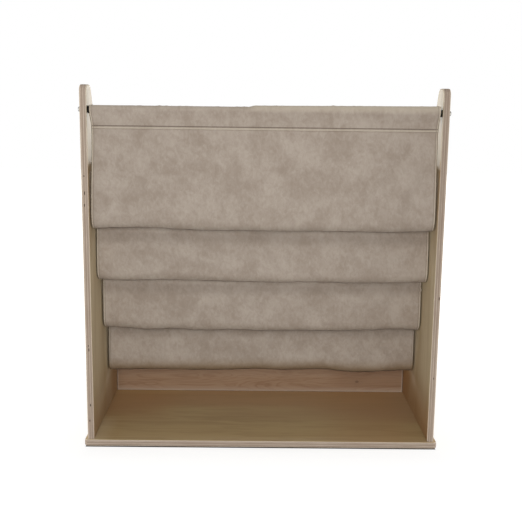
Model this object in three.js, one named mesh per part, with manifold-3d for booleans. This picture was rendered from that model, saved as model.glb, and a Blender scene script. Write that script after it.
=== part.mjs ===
// Sling bookshelf: two birch plywood sides on a base board, a low toe rail at the display
// side, five black rods in a falling line, and four cloth pockets hung from rod to rod.
// Millimetres, +Z up. +Y points to the display side, so the open storage side faces -Y.
// The origin lies on the floor, under the middle of the base board.

import * as THREE from 'three';
import { mergeVertices } from 'three/addons/utils/BufferGeometryUtils.js';
import Module from 'manifold-3d';

const wasm = await Module();
wasm.setup();

// Boards
const insideWidth = 756;
const panelThickness = 15;
const panelDepth = 352;
const panelHeight = 789.5;
const baseThickness = 15;
const baseSideOverhang = 7;
const baseEdgeOverhang = 4;
const baseCornerRadius = 8;
const railThickness = 15;
const railHeight = 100;
const easedEdge = 2.5;

// Outline of a side: its slanted edge runs parallel to the line of rods
const topRodInset = 12;
const topRodDrop = 52;
const slantMargin = 68.5;
const topRearRadius = 15;
const topFrontRadius = 20;
const kneeRadius = 70;

// Rods, and the steel inserts and domed bolts that hold them
const rodCount = 5;
const rodStepForward = 60;
const rodDiameter = 16;
const rodWall = 1.5;
const insertLength = 22;
const boltDiameter = 6;
const boltReach = 16;
const boltHeadDiameter = 13;
const boltHeadHeight = 5;
const boltHeadRim = 1;
const socketSides = 6;
const socketAcross = 4;
const socketDepth = 2.5;

// Cloth pockets
const clothThickness = 1.5;
const clothSideGap = 4;
const seamDrop = 34;
const hemTail = 6;
const seamBite = 4;
const pocketDrop = 262;
const pocketWidth = 56;
const pocketSag = 3;
const pocketFloorGap = 97.8;
const foldDepth = 2.2;
const foldPitch = 250;

// Fasteners of the base and rail
const screwDiameter = 5;
const screwLength = 50;
const screwHeadDiameter = 10;
const screwTip = 4;
const dowelDiameter = 8;
const dowelLength = 30;
const dowelChamfer = 1;
const dowelBite = 10;
const footScrewShares = [0.12, 0.5, 0.88];
const footDowelShares = [0.31, 0.69];
const railScrewShares = [0.12, 0.37, 0.63, 0.88];
const railDowelShares = [0.3, 0.75];

// Glides under the base
const glideDiameter = 24;
const glideThickness = 2;
const glideChamfer = 0.5;
const glideEndInset = 75;
const glideEdgeInset = 22;

// Clearance between pieces that touch, and how far a cutter runs past a face
const fitGap = 0.3;
const cutOverrun = 1;

// Facets
const cornerSegments = 6;
const edgeSegments = 2;
const rodSides = 24;
const boltSides = 12;
const screwSides = 12;
const glideSides = 16;
const domeSteps = 3;
const sleeveSteps = 8;
const wallSteps = 5;
const bendSteps = 8;
const clothSections = 12;
const mergeShare = 1e-7;

// Places that follow from the sizes
const panelInnerX = insideWidth / 2;
const panelOuterX = panelInnerX + panelThickness;
const panelMiddleX = panelInnerX + panelThickness / 2;
const panelRearY = -panelDepth / 2;
const panelFrontY = panelDepth / 2;
const baseUndersideZ = glideThickness + fitGap;
const baseTopZ = baseUndersideZ + baseThickness;
const footZ = baseTopZ + fitGap;
const panelTopZ = footZ + panelHeight;
const baseHalfLength = panelOuterX + baseSideOverhang;
const baseHalfDepth = panelDepth / 2 + baseEdgeOverhang;
const railMiddleY = panelFrontY - railThickness / 2;
const screwRadius = screwDiameter / 2;
const dowelRadius = dowelDiameter / 2;
const clothWidth = insideWidth - 2 * clothSideGap;
const layerPitch = clothThickness + fitGap;
const mergeTolerance = panelHeight * mergeShare;

// The pockets share the height between the top rod and the gap under the lowest pocket
const topRodZ = panelTopZ - topRodDrop;
const lowestPocketRodZ = baseTopZ + pocketFloorGap + pocketSag + pocketDrop;
const rodStepDown = (topRodZ - lowestPocketRodZ) / (rodCount - 2);
const rodCentre = (rod) => new THREE.Vector2(
  panelRearY + topRodInset + rod * rodStepForward,
  topRodZ - rod * rodStepDown,
);
const rodNumbers = Array.from({ length: rodCount }, (_, rod) => rod);
const pocketNumbers = rodNumbers.slice(0, -1);

// Finishes
const finish = (color, roughness, metalness) => new THREE.MeshStandardMaterial({
  color, roughness, metalness,
});
const birchPly = finish(0xcdb99a, 0.55, 0);
const suedeCloth = finish(0xa5978a, 0.95, 0);
const blackSteel = finish(0x121213, 0.4, 0.6);
const brightSteel = finish(0x9c9c98, 0.35, 1);
const beech = finish(0xc9a678, 0.7, 0);
const greyFelt = finish(0x4a4744, 1, 0);

// A closed solid from any three.js geometry, with its faces pointing out
function solidOf(geometry) {
  geometry.deleteAttribute('normal');
  geometry.deleteAttribute('uv');
  const merged = mergeVertices(geometry, mergeTolerance);
  const points = merged.getAttribute('position');
  const corner = (vertex) => new THREE.Vector3().fromBufferAttribute(points, vertex);
  const faces = [];
  let volume = 0;
  for (let i = 0; i < merged.index.count; i += 3) {
    const [a, b, c] = [0, 1, 2].map((step) => merged.index.getX(i + step));
    if (a === b || b === c || c === a) continue;
    faces.push([a, b, c]);
    volume += corner(a).dot(corner(b).cross(corner(c)));
  }
  const outward = volume > 0 ? faces : faces.map(([a, b, c]) => [a, c, b]);
  return new wasm.Manifold(new wasm.Mesh({
    numProp: 3,
    vertProperties: new Float32Array(points.array),
    triVerts: new Uint32Array(outward.flat()),
  }));
}

function geometryOf(solid) {
  const { vertProperties, triVerts } = solid.getMesh();
  const geometry = new THREE.BufferGeometry();
  geometry.setAttribute('position', new THREE.BufferAttribute(vertProperties, 3));
  geometry.setIndex(new THREE.BufferAttribute(triVerts, 1));
  geometry.computeVertexNormals();
  return geometry;
}

const cut = (solid, cutters) => cutters.reduce((rest, cutter) => rest.subtract(cutter), solid);

const model = new THREE.Group();

function addPiece(name, solid, material, place = new THREE.Vector3()) {
  const mesh = new THREE.Mesh(geometryOf(solid), material);
  mesh.name = name;
  mesh.position.copy(place);
  model.add(mesh);
}

const alongX = new THREE.Vector3(1, 0, 0);
const alongZ = new THREE.Vector3(0, 0, 1);
const latheAxis = new THREE.Vector3(0, 1, 0);

// A turned piece: profile points are [radius, distance along the axis] from its start
function turned(profile, sides, direction, start) {
  const points = profile.map(([radius, along]) => new THREE.Vector2(radius, along));
  const geometry = new THREE.LatheGeometry(points, sides);
  geometry.applyQuaternion(new THREE.Quaternion().setFromUnitVectors(latheAxis, direction));
  geometry.translate(start.x, start.y, start.z);
  return solidOf(geometry);
}

const pin = (radius, length, sides, direction, start) => turned(
  [[0, 0], [radius, 0], [radius, length], [0, length]], sides, direction, start,
);

const chamferedPin = (radius, length, chamfer, sides, direction, start) => turned(
  [
    [0, 0], [radius - chamfer, 0], [radius, chamfer],
    [radius, length - chamfer], [radius - chamfer, length], [0, length],
  ],
  sides, direction, start,
);

// A counter-clockwise outline with a round at each corner that has a radius
function roundedOutline(corners) {
  const shape = new THREE.Shape();
  const points = corners.map(({ x, y }) => new THREE.Vector2(x, y));
  corners.forEach(({ radius = 0 }, index) => {
    const point = points[index];
    const toBefore = points.at(index - 1).clone().sub(point).normalize();
    const toAfter = points[(index + 1) % points.length].clone().sub(point).normalize();
    const halfAngle = toBefore.angleTo(toAfter) / 2;
    const start = point.clone().addScaledVector(toBefore, radius / Math.tan(halfAngle));
    const towardsCentre = toBefore.clone().add(toAfter).normalize();
    const centre = point.clone().addScaledVector(towardsCentre, radius / Math.sin(halfAngle));
    if (index === 0) shape.moveTo(start.x, start.y);
    else shape.lineTo(start.x, start.y);
    if (radius > 0) {
      const from = start.clone().sub(centre).angle();
      const turn = Math.PI - 2 * halfAngle;
      shape.absarc(centre.x, centre.y, radius, from, from + turn, false);
    }
  });
  shape.closePath();
  return shape;
}

// A board cut from the sheet, its sawn edges eased on both faces; it fills 0 to thickness
function easedBoard(outline, thickness) {
  const geometry = new THREE.ExtrudeGeometry(outline, {
    depth: thickness - 2 * easedEdge,
    bevelThickness: easedEdge,
    bevelSize: easedEdge,
    bevelOffset: -easedEdge,
    bevelSegments: edgeSegments,
    curveSegments: cornerSegments,
  });
  return geometry.translate(0, 0, easedEdge);
}

// Turns an outline drawn in Y and Z, and its thickness, into place along X
const acrossX = new THREE.Matrix4().makeBasis(
  new THREE.Vector3(0, 1, 0),
  new THREE.Vector3(0, 0, 1),
  new THREE.Vector3(1, 0, 0),
);

// Places of the fasteners
const footPlaces = (shares) => shares.map((share) => panelRearY + share * panelDepth);
const railScrewPlaces = railScrewShares.map((share) => (share - 0.5) * insideWidth);
const railDowelHeights = railDowelShares.map((share) => footZ + share * railHeight);

function countersunkBore(x, y) {
  const headRadius = screwHeadDiameter / 2 + fitGap;
  const shankRadius = screwRadius + fitGap;
  return turned(
    [
      [0, -cutOverrun], [headRadius, -cutOverrun], [headRadius, fitGap],
      [shankRadius, fitGap + headRadius - shankRadius],
      [shankRadius, screwLength + 2 * fitGap], [0, screwLength + 2 * fitGap],
    ],
    screwSides, alongZ, new THREE.Vector3(x, y, baseUndersideZ),
  );
}

function uprightDowelBore(x, y) {
  const start = new THREE.Vector3(x, y, baseTopZ - dowelBite - fitGap);
  return pin(dowelRadius + fitGap, dowelLength + 3 * fitGap, screwSides, alongZ, start);
}

function railDowelBore(side, z) {
  const start = new THREE.Vector3(side * (panelInnerX + dowelBite + fitGap), railMiddleY, z);
  const inward = alongX.clone().multiplyScalar(-side);
  return pin(dowelRadius + fitGap, dowelLength + 3 * fitGap, screwSides, inward, start);
}

const footBores = (side) => [
  ...footPlaces(footScrewShares).map((y) => countersunkBore(side * panelMiddleX, y)),
  ...footPlaces(footDowelShares).map((y) => uprightDowelBore(side * panelMiddleX, y)),
];
const railFootBores = railScrewPlaces.map((x) => countersunkBore(x, railMiddleY));
const railEndBores = (side) => railDowelHeights.map((z) => railDowelBore(side, z));

// Base board: it stands proud of the sides all round, with rounded corners
function baseBoard() {
  const corner = (x, y) => ({ x, y, radius: baseCornerRadius });
  const outline = roundedOutline([
    corner(-baseHalfLength, -baseHalfDepth), corner(baseHalfLength, -baseHalfDepth),
    corner(baseHalfLength, baseHalfDepth), corner(-baseHalfLength, baseHalfDepth),
  ]);
  const board = easedBoard(outline, baseThickness).translate(0, 0, baseUndersideZ);
  return cut(solidOf(board), [...footBores(-1), ...footBores(1), ...railFootBores]);
}

// Side: upright at the storage side, slanted above a knee at the display side
function sidePanel(side) {
  const slope = rodStepForward / rodStepDown;
  const topRod = rodCentre(0);
  const slantY = (z) => topRod.x + slantMargin + (topRod.y - z) * slope;
  const kneeZ = topRod.y - (panelFrontY - topRod.x - slantMargin) / slope;
  const outline = roundedOutline([
    { x: panelRearY, y: footZ },
    { x: panelFrontY, y: footZ },
    { x: panelFrontY, y: kneeZ, radius: kneeRadius },
    { x: slantY(panelTopZ), y: panelTopZ, radius: topFrontRadius },
    { x: panelRearY, y: panelTopZ, radius: topRearRadius },
  ]);
  const board = easedBoard(outline, panelThickness).applyMatrix4(acrossX);
  board.translate(side > 0 ? panelInnerX : -panelOuterX, 0, 0);
  const boltBores = rodNumbers.map((rod) => {
    const { x: y, y: z } = rodCentre(rod);
    const start = new THREE.Vector3(side * panelMiddleX - (panelThickness / 2 + cutOverrun), y, z);
    return pin(boltDiameter / 2 + fitGap, panelThickness + 2 * cutOverrun, screwSides, alongX, start);
  });
  return cut(solidOf(board), [...boltBores, ...footBores(side), ...railEndBores(side)]);
}

// Toe rail between the sides, flush with their display edge
function toeRail() {
  const rearY = panelFrontY - railThickness;
  const topZ = footZ + railHeight;
  const outline = roundedOutline([
    { x: rearY, y: footZ, radius: easedEdge }, { x: panelFrontY, y: footZ, radius: easedEdge },
    { x: panelFrontY, y: topZ, radius: easedEdge }, { x: rearY, y: topZ, radius: easedEdge },
  ]);
  const length = insideWidth - 2 * fitGap;
  const board = new THREE.ExtrudeGeometry(outline, {
    depth: length, bevelEnabled: false, curveSegments: edgeSegments,
  });
  board.applyMatrix4(acrossX).translate(-length / 2, 0, 0);
  return cut(solidOf(board), [...railFootBores, ...railEndBores(-1), ...railEndBores(1)]);
}

// Rod: a steel tube, centred on its own middle
function rodTube() {
  const outer = rodDiameter / 2;
  const inner = outer - rodWall;
  const length = insideWidth - 2 * fitGap;
  return turned(
    [[inner, 0], [outer, 0], [outer, length], [inner, length], [inner, 0]],
    rodSides, alongX, new THREE.Vector3(-length / 2, 0, 0),
  );
}

// Threaded insert pressed into a rod's end, and the domed bolt that pulls it to the side
function rodInsert(side, rod) {
  const { x: y, y: z } = rodCentre(rod);
  const outer = rodDiameter / 2 - rodWall - fitGap;
  const inner = boltDiameter / 2 + fitGap;
  const start = new THREE.Vector3(side * (panelInnerX - fitGap), y, z);
  return turned(
    [[inner, 0], [outer, 0], [outer, insertLength], [inner, insertLength], [inner, 0]],
    screwSides, alongX.clone().multiplyScalar(-side), start,
  );
}

function domedBolt(side, rod) {
  const { x: y, y: z } = rodCentre(rod);
  const headRadius = boltHeadDiameter / 2;
  const domeHeight = boltHeadHeight - boltHeadRim;
  const domeRadius = (headRadius ** 2 + domeHeight ** 2) / (2 * domeHeight);
  const rimAngle = Math.asin(headRadius / domeRadius);
  const dome = Array.from({ length: domeSteps + 1 }, (_, step) => {
    const angle = rimAngle * (1 - step / domeSteps);
    return [domeRadius * Math.sin(angle), boltHeadHeight - domeRadius * (1 - Math.cos(angle))];
  });
  const shankRadius = boltDiameter / 2;
  const tip = -(panelThickness + fitGap + boltReach);
  const outward = alongX.clone().multiplyScalar(side);
  const seat = new THREE.Vector3(side * (panelOuterX + fitGap), y, z);
  const bolt = turned(
    [[0, tip], [shankRadius, tip], [shankRadius, 0], [headRadius, 0], ...dome],
    boltSides, outward, seat,
  );
  const socketFloor = seat.clone().addScaledVector(outward, boltHeadHeight - socketDepth);
  const socketRadius = socketAcross / 2 / Math.cos(Math.PI / socketSides);
  const socket = pin(socketRadius, socketDepth + cutOverrun, socketSides, outward, socketFloor);
  return bolt.subtract(socket);
}

// Countersunk screw driven up through the base board
function baseScrew(x, y) {
  const headRadius = screwHeadDiameter / 2;
  return turned(
    [
      [0, 0], [headRadius, 0], [screwRadius, headRadius - screwRadius],
      [screwRadius, screwLength - screwTip], [0, screwLength],
    ],
    screwSides, alongZ, new THREE.Vector3(x, y, baseUndersideZ + fitGap),
  );
}

function uprightDowel(x, y) {
  const start = new THREE.Vector3(x, y, baseTopZ - dowelBite);
  return chamferedPin(dowelRadius, dowelLength, dowelChamfer, screwSides, alongZ, start);
}

function railDowel(side, z) {
  const start = new THREE.Vector3(side * (panelInnerX + dowelBite), railMiddleY, z);
  const inward = alongX.clone().multiplyScalar(-side);
  return chamferedPin(dowelRadius, dowelLength, dowelChamfer, screwSides, inward, start);
}

function glide() {
  const radius = glideDiameter / 2;
  return turned(
    [
      [0, 0], [radius - glideChamfer, 0], [radius, glideChamfer],
      [radius, glideThickness], [0, glideThickness],
    ],
    glideSides, alongZ, new THREE.Vector3(),
  );
}

// Points on a circle from one angle to another, both included
function arcPoints(centre, radius, from, to, steps) {
  return Array.from({ length: steps + 1 }, (_, step) => {
    const angle = from + (to - from) * step / steps;
    return new THREE.Vector2(centre.x + radius * Math.cos(angle), centre.y + radius * Math.sin(angle));
  });
}

// The cloth over a rod, from the seam at seamRear up, over and down to the seam at seamFront
function overRod(centre, seamRear, seamFront) {
  const radius = rodDiameter / 2 + fitGap + clothThickness / 2;
  const tangentAngle = (seam, turn) => {
    const arm = seam.clone().sub(centre);
    return arm.angle() + turn * Math.acos(radius / arm.length());
  };
  const rise = tangentAngle(seamRear, -1);
  const fall = tangentAngle(seamFront, 1) - 2 * Math.PI;
  return arcPoints(centre, radius, rise, fall, sleeveSteps);
}

// How the cloth hangs away from its plain path at a place across its width:
// soft upright folds, and a belly that sags between the hemmed sides
function hang(pocket, x) {
  const across = x / clothWidth;
  const fold = Math.sin(2 * Math.PI * (x / foldPitch + pocket / pocketNumbers.length));
  const edgeEase = 1 - (2 * across) ** 4;
  return { forward: foldDepth * fold * edgeEase, down: pocketSag * (1 - (2 * across) ** 2) };
}

// The middle of the cloth of one pocket, as [Y, Z] points at a place across its width:
// hem tail, sleeve over the rear rod, rear wall, bend, front wall. The front wall is sewn
// into the next sleeve, and the last one has a sleeve of its own over the lowest rod.
function pocketPath(pocket, x) {
  const rear = rodCentre(pocket);
  const front = rodCentre(pocket + 1);
  const isFirst = pocket === 0;
  const isLast = pocket === pocketNumbers.length - 1;
  const { forward, down } = hang(pocket, x);

  const rearSeam = new THREE.Vector2(rear.x, rear.y - seamDrop);
  const tailSeam = new THREE.Vector2(rear.x - layerPitch * (isFirst ? 1 : 2), rearSeam.y);
  const tailEnd = new THREE.Vector2(tailSeam.x, tailSeam.y - hemTail);
  const frontSeam = new THREE.Vector2(front.x - (isLast ? 0 : layerPitch), front.y - seamDrop);

  const bendRadius = (pocketWidth - clothThickness) / 2;
  const bendCentre = new THREE.Vector2(
    rear.x + bendRadius + forward,
    rear.y - pocketDrop + pocketWidth / 2 - down,
  );
  const bend = arcPoints(bendCentre, bendRadius, Math.PI, 2 * Math.PI, bendSteps);

  const wall = (seam, foot) => Array.from({ length: wallSteps }, (_, step) => {
    const share = step / wallSteps;
    const eased = share * share * (3 - 2 * share);
    return new THREE.Vector2(seam.x + (foot.x - seam.x) * eased, seam.y + (foot.y - seam.y) * share);
  });
  const rearWall = wall(rearSeam, bend[0]);
  const frontWall = wall(frontSeam, bend.at(-1)).reverse();

  const frontEnd = new THREE.Vector2(frontSeam.x, frontSeam.y + seamBite);
  const lastSeam = new THREE.Vector2(front.x + layerPitch, frontSeam.y);
  const lastSleeve = () => [
    ...overRod(front, frontSeam, lastSeam),
    lastSeam,
    new THREE.Vector2(lastSeam.x, lastSeam.y - hemTail),
  ];
  return [
    tailEnd, tailSeam, ...overRod(rear, tailSeam, rearSeam), ...rearWall,
    ...bend, ...frontWall, ...(isLast ? lastSleeve() : [frontEnd]),
  ];
}

// Both faces of the cloth round its middle path, mitred where the path turns
function clothFaces(path) {
  const directions = path.slice(1).map((point, index) => point.clone().sub(path[index]).normalize());
  return path.map((point, index) => {
    const before = directions[Math.max(index - 1, 0)];
    const after = directions[Math.min(index, directions.length - 1)];
    const mitre = new THREE.Vector2(-(before.y + after.y), before.x + after.x).normalize();
    const reach = clothThickness / 2 / mitre.dot(new THREE.Vector2(-after.y, after.x));
    return [point.clone().addScaledVector(mitre, reach), point.clone().addScaledVector(mitre, -reach)];
  });
}

function pocketCloth(pocket) {
  const sections = Array.from({ length: clothSections + 1 }, (_, section) => {
    const x = clothWidth * (section / clothSections - 0.5);
    return clothFaces(pocketPath(pocket, x)).map((faces) => faces.map(({ x: y, y: z }) => [x, y, z]));
  });
  const pathLength = sections[0].length;
  const steps = Array.from({ length: pathLength - 1 }, (_, step) => step);
  const index = [];
  const quad = (...corners) => {
    const [a, b, c, d] = corners.map(([section, step, face]) => (section * pathLength + step) * 2 + face);
    index.push(a, b, c, a, c, d);
  };
  for (let near = 0; near < clothSections; near += 1) {
    const far = near + 1;
    steps.forEach((step) => {
      quad([near, step, 0], [near, step + 1, 0], [far, step + 1, 0], [far, step, 0]);
      quad([near, step, 1], [far, step, 1], [far, step + 1, 1], [near, step + 1, 1]);
    });
    const end = pathLength - 1;
    quad([near, 0, 1], [near, 0, 0], [far, 0, 0], [far, 0, 1]);
    quad([near, end, 0], [near, end, 1], [far, end, 1], [far, end, 0]);
  }
  steps.forEach((step) => {
    const last = clothSections;
    quad([0, step, 1], [0, step + 1, 1], [0, step + 1, 0], [0, step, 0]);
    quad([last, step, 0], [last, step + 1, 0], [last, step + 1, 1], [last, step, 1]);
  });
  const geometry = new THREE.BufferGeometry();
  const positions = new THREE.Float32BufferAttribute(sections.flat(3), 3);
  geometry.setAttribute('position', positions);
  geometry.setIndex(index);
  return solidOf(geometry);
}

// Assembly
addPiece('base_board', baseBoard(), birchPly);
addPiece('toe_rail', toeRail(), birchPly);
rodNumbers.forEach((rod) => {
  const { x: y, y: z } = rodCentre(rod);
  addPiece(`rod_${rod + 1}`, rodTube(), blackSteel, new THREE.Vector3(0, y, z));
});
pocketNumbers.forEach((pocket) => {
  addPiece(`sling_${pocket + 1}`, pocketCloth(pocket), suedeCloth);
});
for (const [name, side] of [['left', -1], ['right', 1]]) {
  const footX = side * panelMiddleX;
  addPiece(`side_panel_${name}`, sidePanel(side), birchPly);
  rodNumbers.forEach((rod) => {
    addPiece(`rod_insert_${rod + 1}_${name}`, rodInsert(side, rod), brightSteel);
    addPiece(`rod_bolt_${rod + 1}_${name}`, domedBolt(side, rod), brightSteel);
  });
  footPlaces(footScrewShares).forEach((y, index) => {
    addPiece(`foot_screw_${index + 1}_${name}`, baseScrew(footX, y), brightSteel);
  });
  footPlaces(footDowelShares).forEach((y, index) => {
    addPiece(`foot_dowel_${index + 1}_${name}`, uprightDowel(footX, y), beech);
  });
  railDowelHeights.forEach((z, index) => {
    addPiece(`rail_dowel_${index + 1}_${name}`, railDowel(side, z), beech);
  });
}
railScrewPlaces.forEach((x, index) => {
  addPiece(`rail_screw_${index + 1}`, baseScrew(x, railMiddleY), brightSteel);
});
for (const [edgeName, edge] of [['rear', -1], ['front', 1]]) {
  const y = edge * (baseHalfDepth - glideEdgeInset);
  for (const [endName, end] of [['left', -1], ['middle', 0], ['right', 1]]) {
    const place = new THREE.Vector3(end * (baseHalfLength - glideEndInset), y, 0);
    addPiece(`glide_${edgeName}_${endName}`, glide(), greyFelt, place);
  }
}

export default model;
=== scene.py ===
"""Sling bookshelf: plywood sides and base, black rods and four pockets of suede cloth.

Metres, +Z up. The open storage side faces -Y, and the books face +Y.
"""

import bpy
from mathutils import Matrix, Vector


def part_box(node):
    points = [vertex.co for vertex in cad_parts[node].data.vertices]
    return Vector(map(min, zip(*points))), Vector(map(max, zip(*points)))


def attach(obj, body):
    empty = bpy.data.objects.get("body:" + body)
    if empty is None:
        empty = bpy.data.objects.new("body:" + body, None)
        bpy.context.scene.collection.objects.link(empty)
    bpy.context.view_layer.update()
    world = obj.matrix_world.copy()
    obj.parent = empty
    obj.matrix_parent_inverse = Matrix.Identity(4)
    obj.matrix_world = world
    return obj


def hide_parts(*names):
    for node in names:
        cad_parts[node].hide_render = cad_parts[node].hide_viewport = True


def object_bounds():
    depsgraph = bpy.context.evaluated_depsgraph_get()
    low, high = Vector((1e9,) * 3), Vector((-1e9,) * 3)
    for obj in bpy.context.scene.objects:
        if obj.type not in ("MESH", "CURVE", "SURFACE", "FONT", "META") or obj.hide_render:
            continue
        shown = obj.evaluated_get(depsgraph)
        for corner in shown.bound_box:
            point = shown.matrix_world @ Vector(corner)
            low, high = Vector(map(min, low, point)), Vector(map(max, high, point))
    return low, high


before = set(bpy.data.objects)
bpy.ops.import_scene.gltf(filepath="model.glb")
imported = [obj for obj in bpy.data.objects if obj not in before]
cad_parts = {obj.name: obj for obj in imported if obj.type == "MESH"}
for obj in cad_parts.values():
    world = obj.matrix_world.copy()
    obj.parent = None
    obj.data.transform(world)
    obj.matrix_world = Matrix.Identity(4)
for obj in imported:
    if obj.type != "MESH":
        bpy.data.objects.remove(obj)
cad_box = [list(corner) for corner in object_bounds()]

import math
from functools import partial, reduce

import bpy
import numpy as np
from bpy.props import FloatProperty, FloatVectorProperty, IntProperty, PointerProperty
from mathutils import Matrix, Vector

bl_info = {
    "name": "Sling bookshelf",
    "version": (1, 0, 0),
    "blender": (4, 5, 0),
    "location": "3D View > Sidebar > Bookshelf",
    "description": "Builds a plywood bookshelf with four cloth pockets and a photo stage",
    "category": "Object",
}

SIDES = (("left", -1), ("right", 1))
RODS = (1, 2, 3, 4, 5)
POCKETS = (1, 2, 3, 4)
MM = 0.001


# Measures taken from the frame

def middle(node):
    """The middle of a node's box."""
    low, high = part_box(node)
    return (low + high) / 2


def extent(node):
    """A node's size along X, Y and Z."""
    low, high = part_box(node)
    return high - low


def tint(red, green, blue):
    """A screen colour from 0 to 255 as the linear colour that shaders use."""
    def linear(channel):
        share = channel / 255
        return share / 12.92 if share <= 0.04045 else ((share + 0.055) / 1.055) ** 2.4
    return (linear(red), linear(green), linear(blue))


# Settings that a user would change

def length_setting(label, about, value):
    return FloatProperty(name=label, description=about, default=value, unit="LENGTH", precision=5)


def colour_setting(label, about, red, green, blue):
    return FloatVectorProperty(
        name=label, description=about, default=tint(red, green, blue),
        subtype="COLOR", size=3, min=0, max=1,
    )


def power_setting(label, about, value):
    return FloatProperty(name=label, description=about, default=value, unit="POWER")


class BoardSettings(bpy.types.PropertyGroup):
    """Birch plywood"""
    ply_count: IntProperty(
        name="Plies", description="Layers of veneer in a board", default=11, min=3,
    )
    face: colour_setting("Face veneer", "Pale wood of the outer veneer", 213, 197, 166)
    face_streak: colour_setting("Face streak", "Darker growth lines of the face", 190, 168, 128)
    base_face: colour_setting("Base veneer", "Veneer of the base board", 177, 152, 108)
    base_streak: colour_setting("Base streak", "Growth lines of the base board", 154, 126, 87)
    # Browner zones of the base board's wood, and also painted shade on the sides' inner faces
    base_warm_and_shade: colour_setting("Base, warm", "Browner zones of the base board", 165, 132, 95)
    # Painted shade in the sides' lower back corners and on parts of the base board
    corner_shade: colour_setting("Corner, warm", "Browner veneer in the corners", 163, 121, 76)
    rail_face: colour_setting("Rail veneer", "Heartwood veneer of the toe rail", 153, 125, 99)
    rail_streak: colour_setting("Rail streak", "Growth lines of the toe rail", 122, 86, 60)
    # Pale outer veneers of a cut edge, partly a painted highlight along the eased edges
    edge_skin_and_highlight: colour_setting("Edge, face veneer", "Cut edge of the outer veneers", 229, 217, 200)
    edge_long: colour_setting("Edge, long plies", "Cut edge of plies along it", 208, 193, 176)
    edge_cross: colour_setting("Edge, cross plies", "End grain of plies across it", 172, 153, 136)
    glue: colour_setting("Glue line", "Dark line between two plies", 116, 98, 84)
    void: colour_setting("Void", "Small open gap in an inner ply", 60, 46, 36)


class MetalSettings(bpy.types.PropertyGroup):
    """Rods, bolts and screws"""
    rod_wall: length_setting("Rod wall", "Wall of the rod tube", 1.5 * MM)
    rod_bevel: length_setting("Rod bevel", "Rounding of the rod's ends", 0.35 * MM)
    head_height: length_setting("Head height", "Height of a bolt's domed head", 5 * MM)
    head_rim: length_setting("Head rim", "Straight rim under the dome", 1 * MM)
    socket_across: length_setting("Socket", "Hexagon socket across its flats", 4 * MM)
    socket_depth: length_setting("Socket depth", "Depth of the hexagon socket", 2.5 * MM)
    cross_reach: length_setting("Cross reach", "Reach of a screw's cross recess", 2.4 * MM)
    cross_width: length_setting("Cross width", "Half the width of its arms", 0.55 * MM)
    cross_depth: length_setting("Cross depth", "Depth of the cross recess", 2 * MM)
    rod_colour: colour_setting("Rod", "Black powder coat", 14, 14, 14)
    steel: colour_setting("Steel", "Zinc plated fasteners", 132, 130, 126)


class ClothSettings(bpy.types.PropertyGroup):
    """Pockets of suede cloth"""
    thickness: length_setting("Thickness", "Thickness of one layer of cloth", 0.8 * MM)
    rod_gap: length_setting("Rod gap", "Air between a rod and its sleeve", 0.3 * MM)
    seam_drop: length_setting("Seam drop", "From a rod's middle down to its seam", 34 * MM)
    tail: length_setting("Tail", "Folded edge below the seam", 6 * MM)
    bite: length_setting("Bite", "Cloth held above a seam that it joins", 4 * MM)
    pocket_drop: length_setting("Pocket drop", "From a rod's middle to the foot", 262 * MM)
    pocket_width: length_setting("Pocket width", "Across the foot, front to back", 56 * MM)
    hem: length_setting("Hem", "Width of the folded side hem", 7.5 * MM)
    hem_seam: length_setting("Hem seam", "From the side edge to its stitches", 5 * MM)
    across_step: length_setting("Step across", "Mesh step along the rods", 5 * MM)
    down_step: length_setting("Step down", "Mesh step down the cloth", 4.5 * MM)
    stitch_pitch: length_setting("Stitch pitch", "From one stitch to the next", 3.4 * MM)
    stitch_length: length_setting("Stitch length", "Length of a stitch that shows", 2.5 * MM)
    thread_width: length_setting("Thread", "Thickness of the thread", 0.6 * MM)
    suede: colour_setting("Suede", "Main colour of the cloth", 167, 154, 141)
    nap_light: colour_setting("Nap, light", "Where the nap is brushed up", 180, 168, 156)
    nap_dark: colour_setting("Nap, dark", "Where the nap lies down", 150, 136, 123)
    # Painted shade in the stitch grooves, under the tail's edge and over the right of each pocket
    seam_shade: colour_setting("Seam shade", "Cloth pulled down by the stitches", 98, 85, 73)
    # Painted highlight on the hems' folded edges, on the tails and along the top sleeve
    fold_highlight: colour_setting("Folded edge", "Rubbed edge of a hem", 200, 188, 168)
    # Painted shade on the outer rim of each hem, and on the walls just below the foot of the pocket
    # above
    rim_and_foot_shade: colour_setting("Hem rim", "Outer rim of a hem, shaded", 66, 52, 38)
    # Painted shade, brown and warm, on the lowest pocket's foot
    foot_shade: colour_setting("Foot shade", "Lowest foot, browner than the rest", 122, 94, 50)
    # Painted shade: a dark line under each foot, where the cloth turns away
    under_foot_shade: colour_setting("Foot rim", "Under each foot, where the cloth turns away", 62, 44, 22)
    thread: colour_setting("Thread colour", "Sewing thread", 152, 139, 124)


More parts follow.
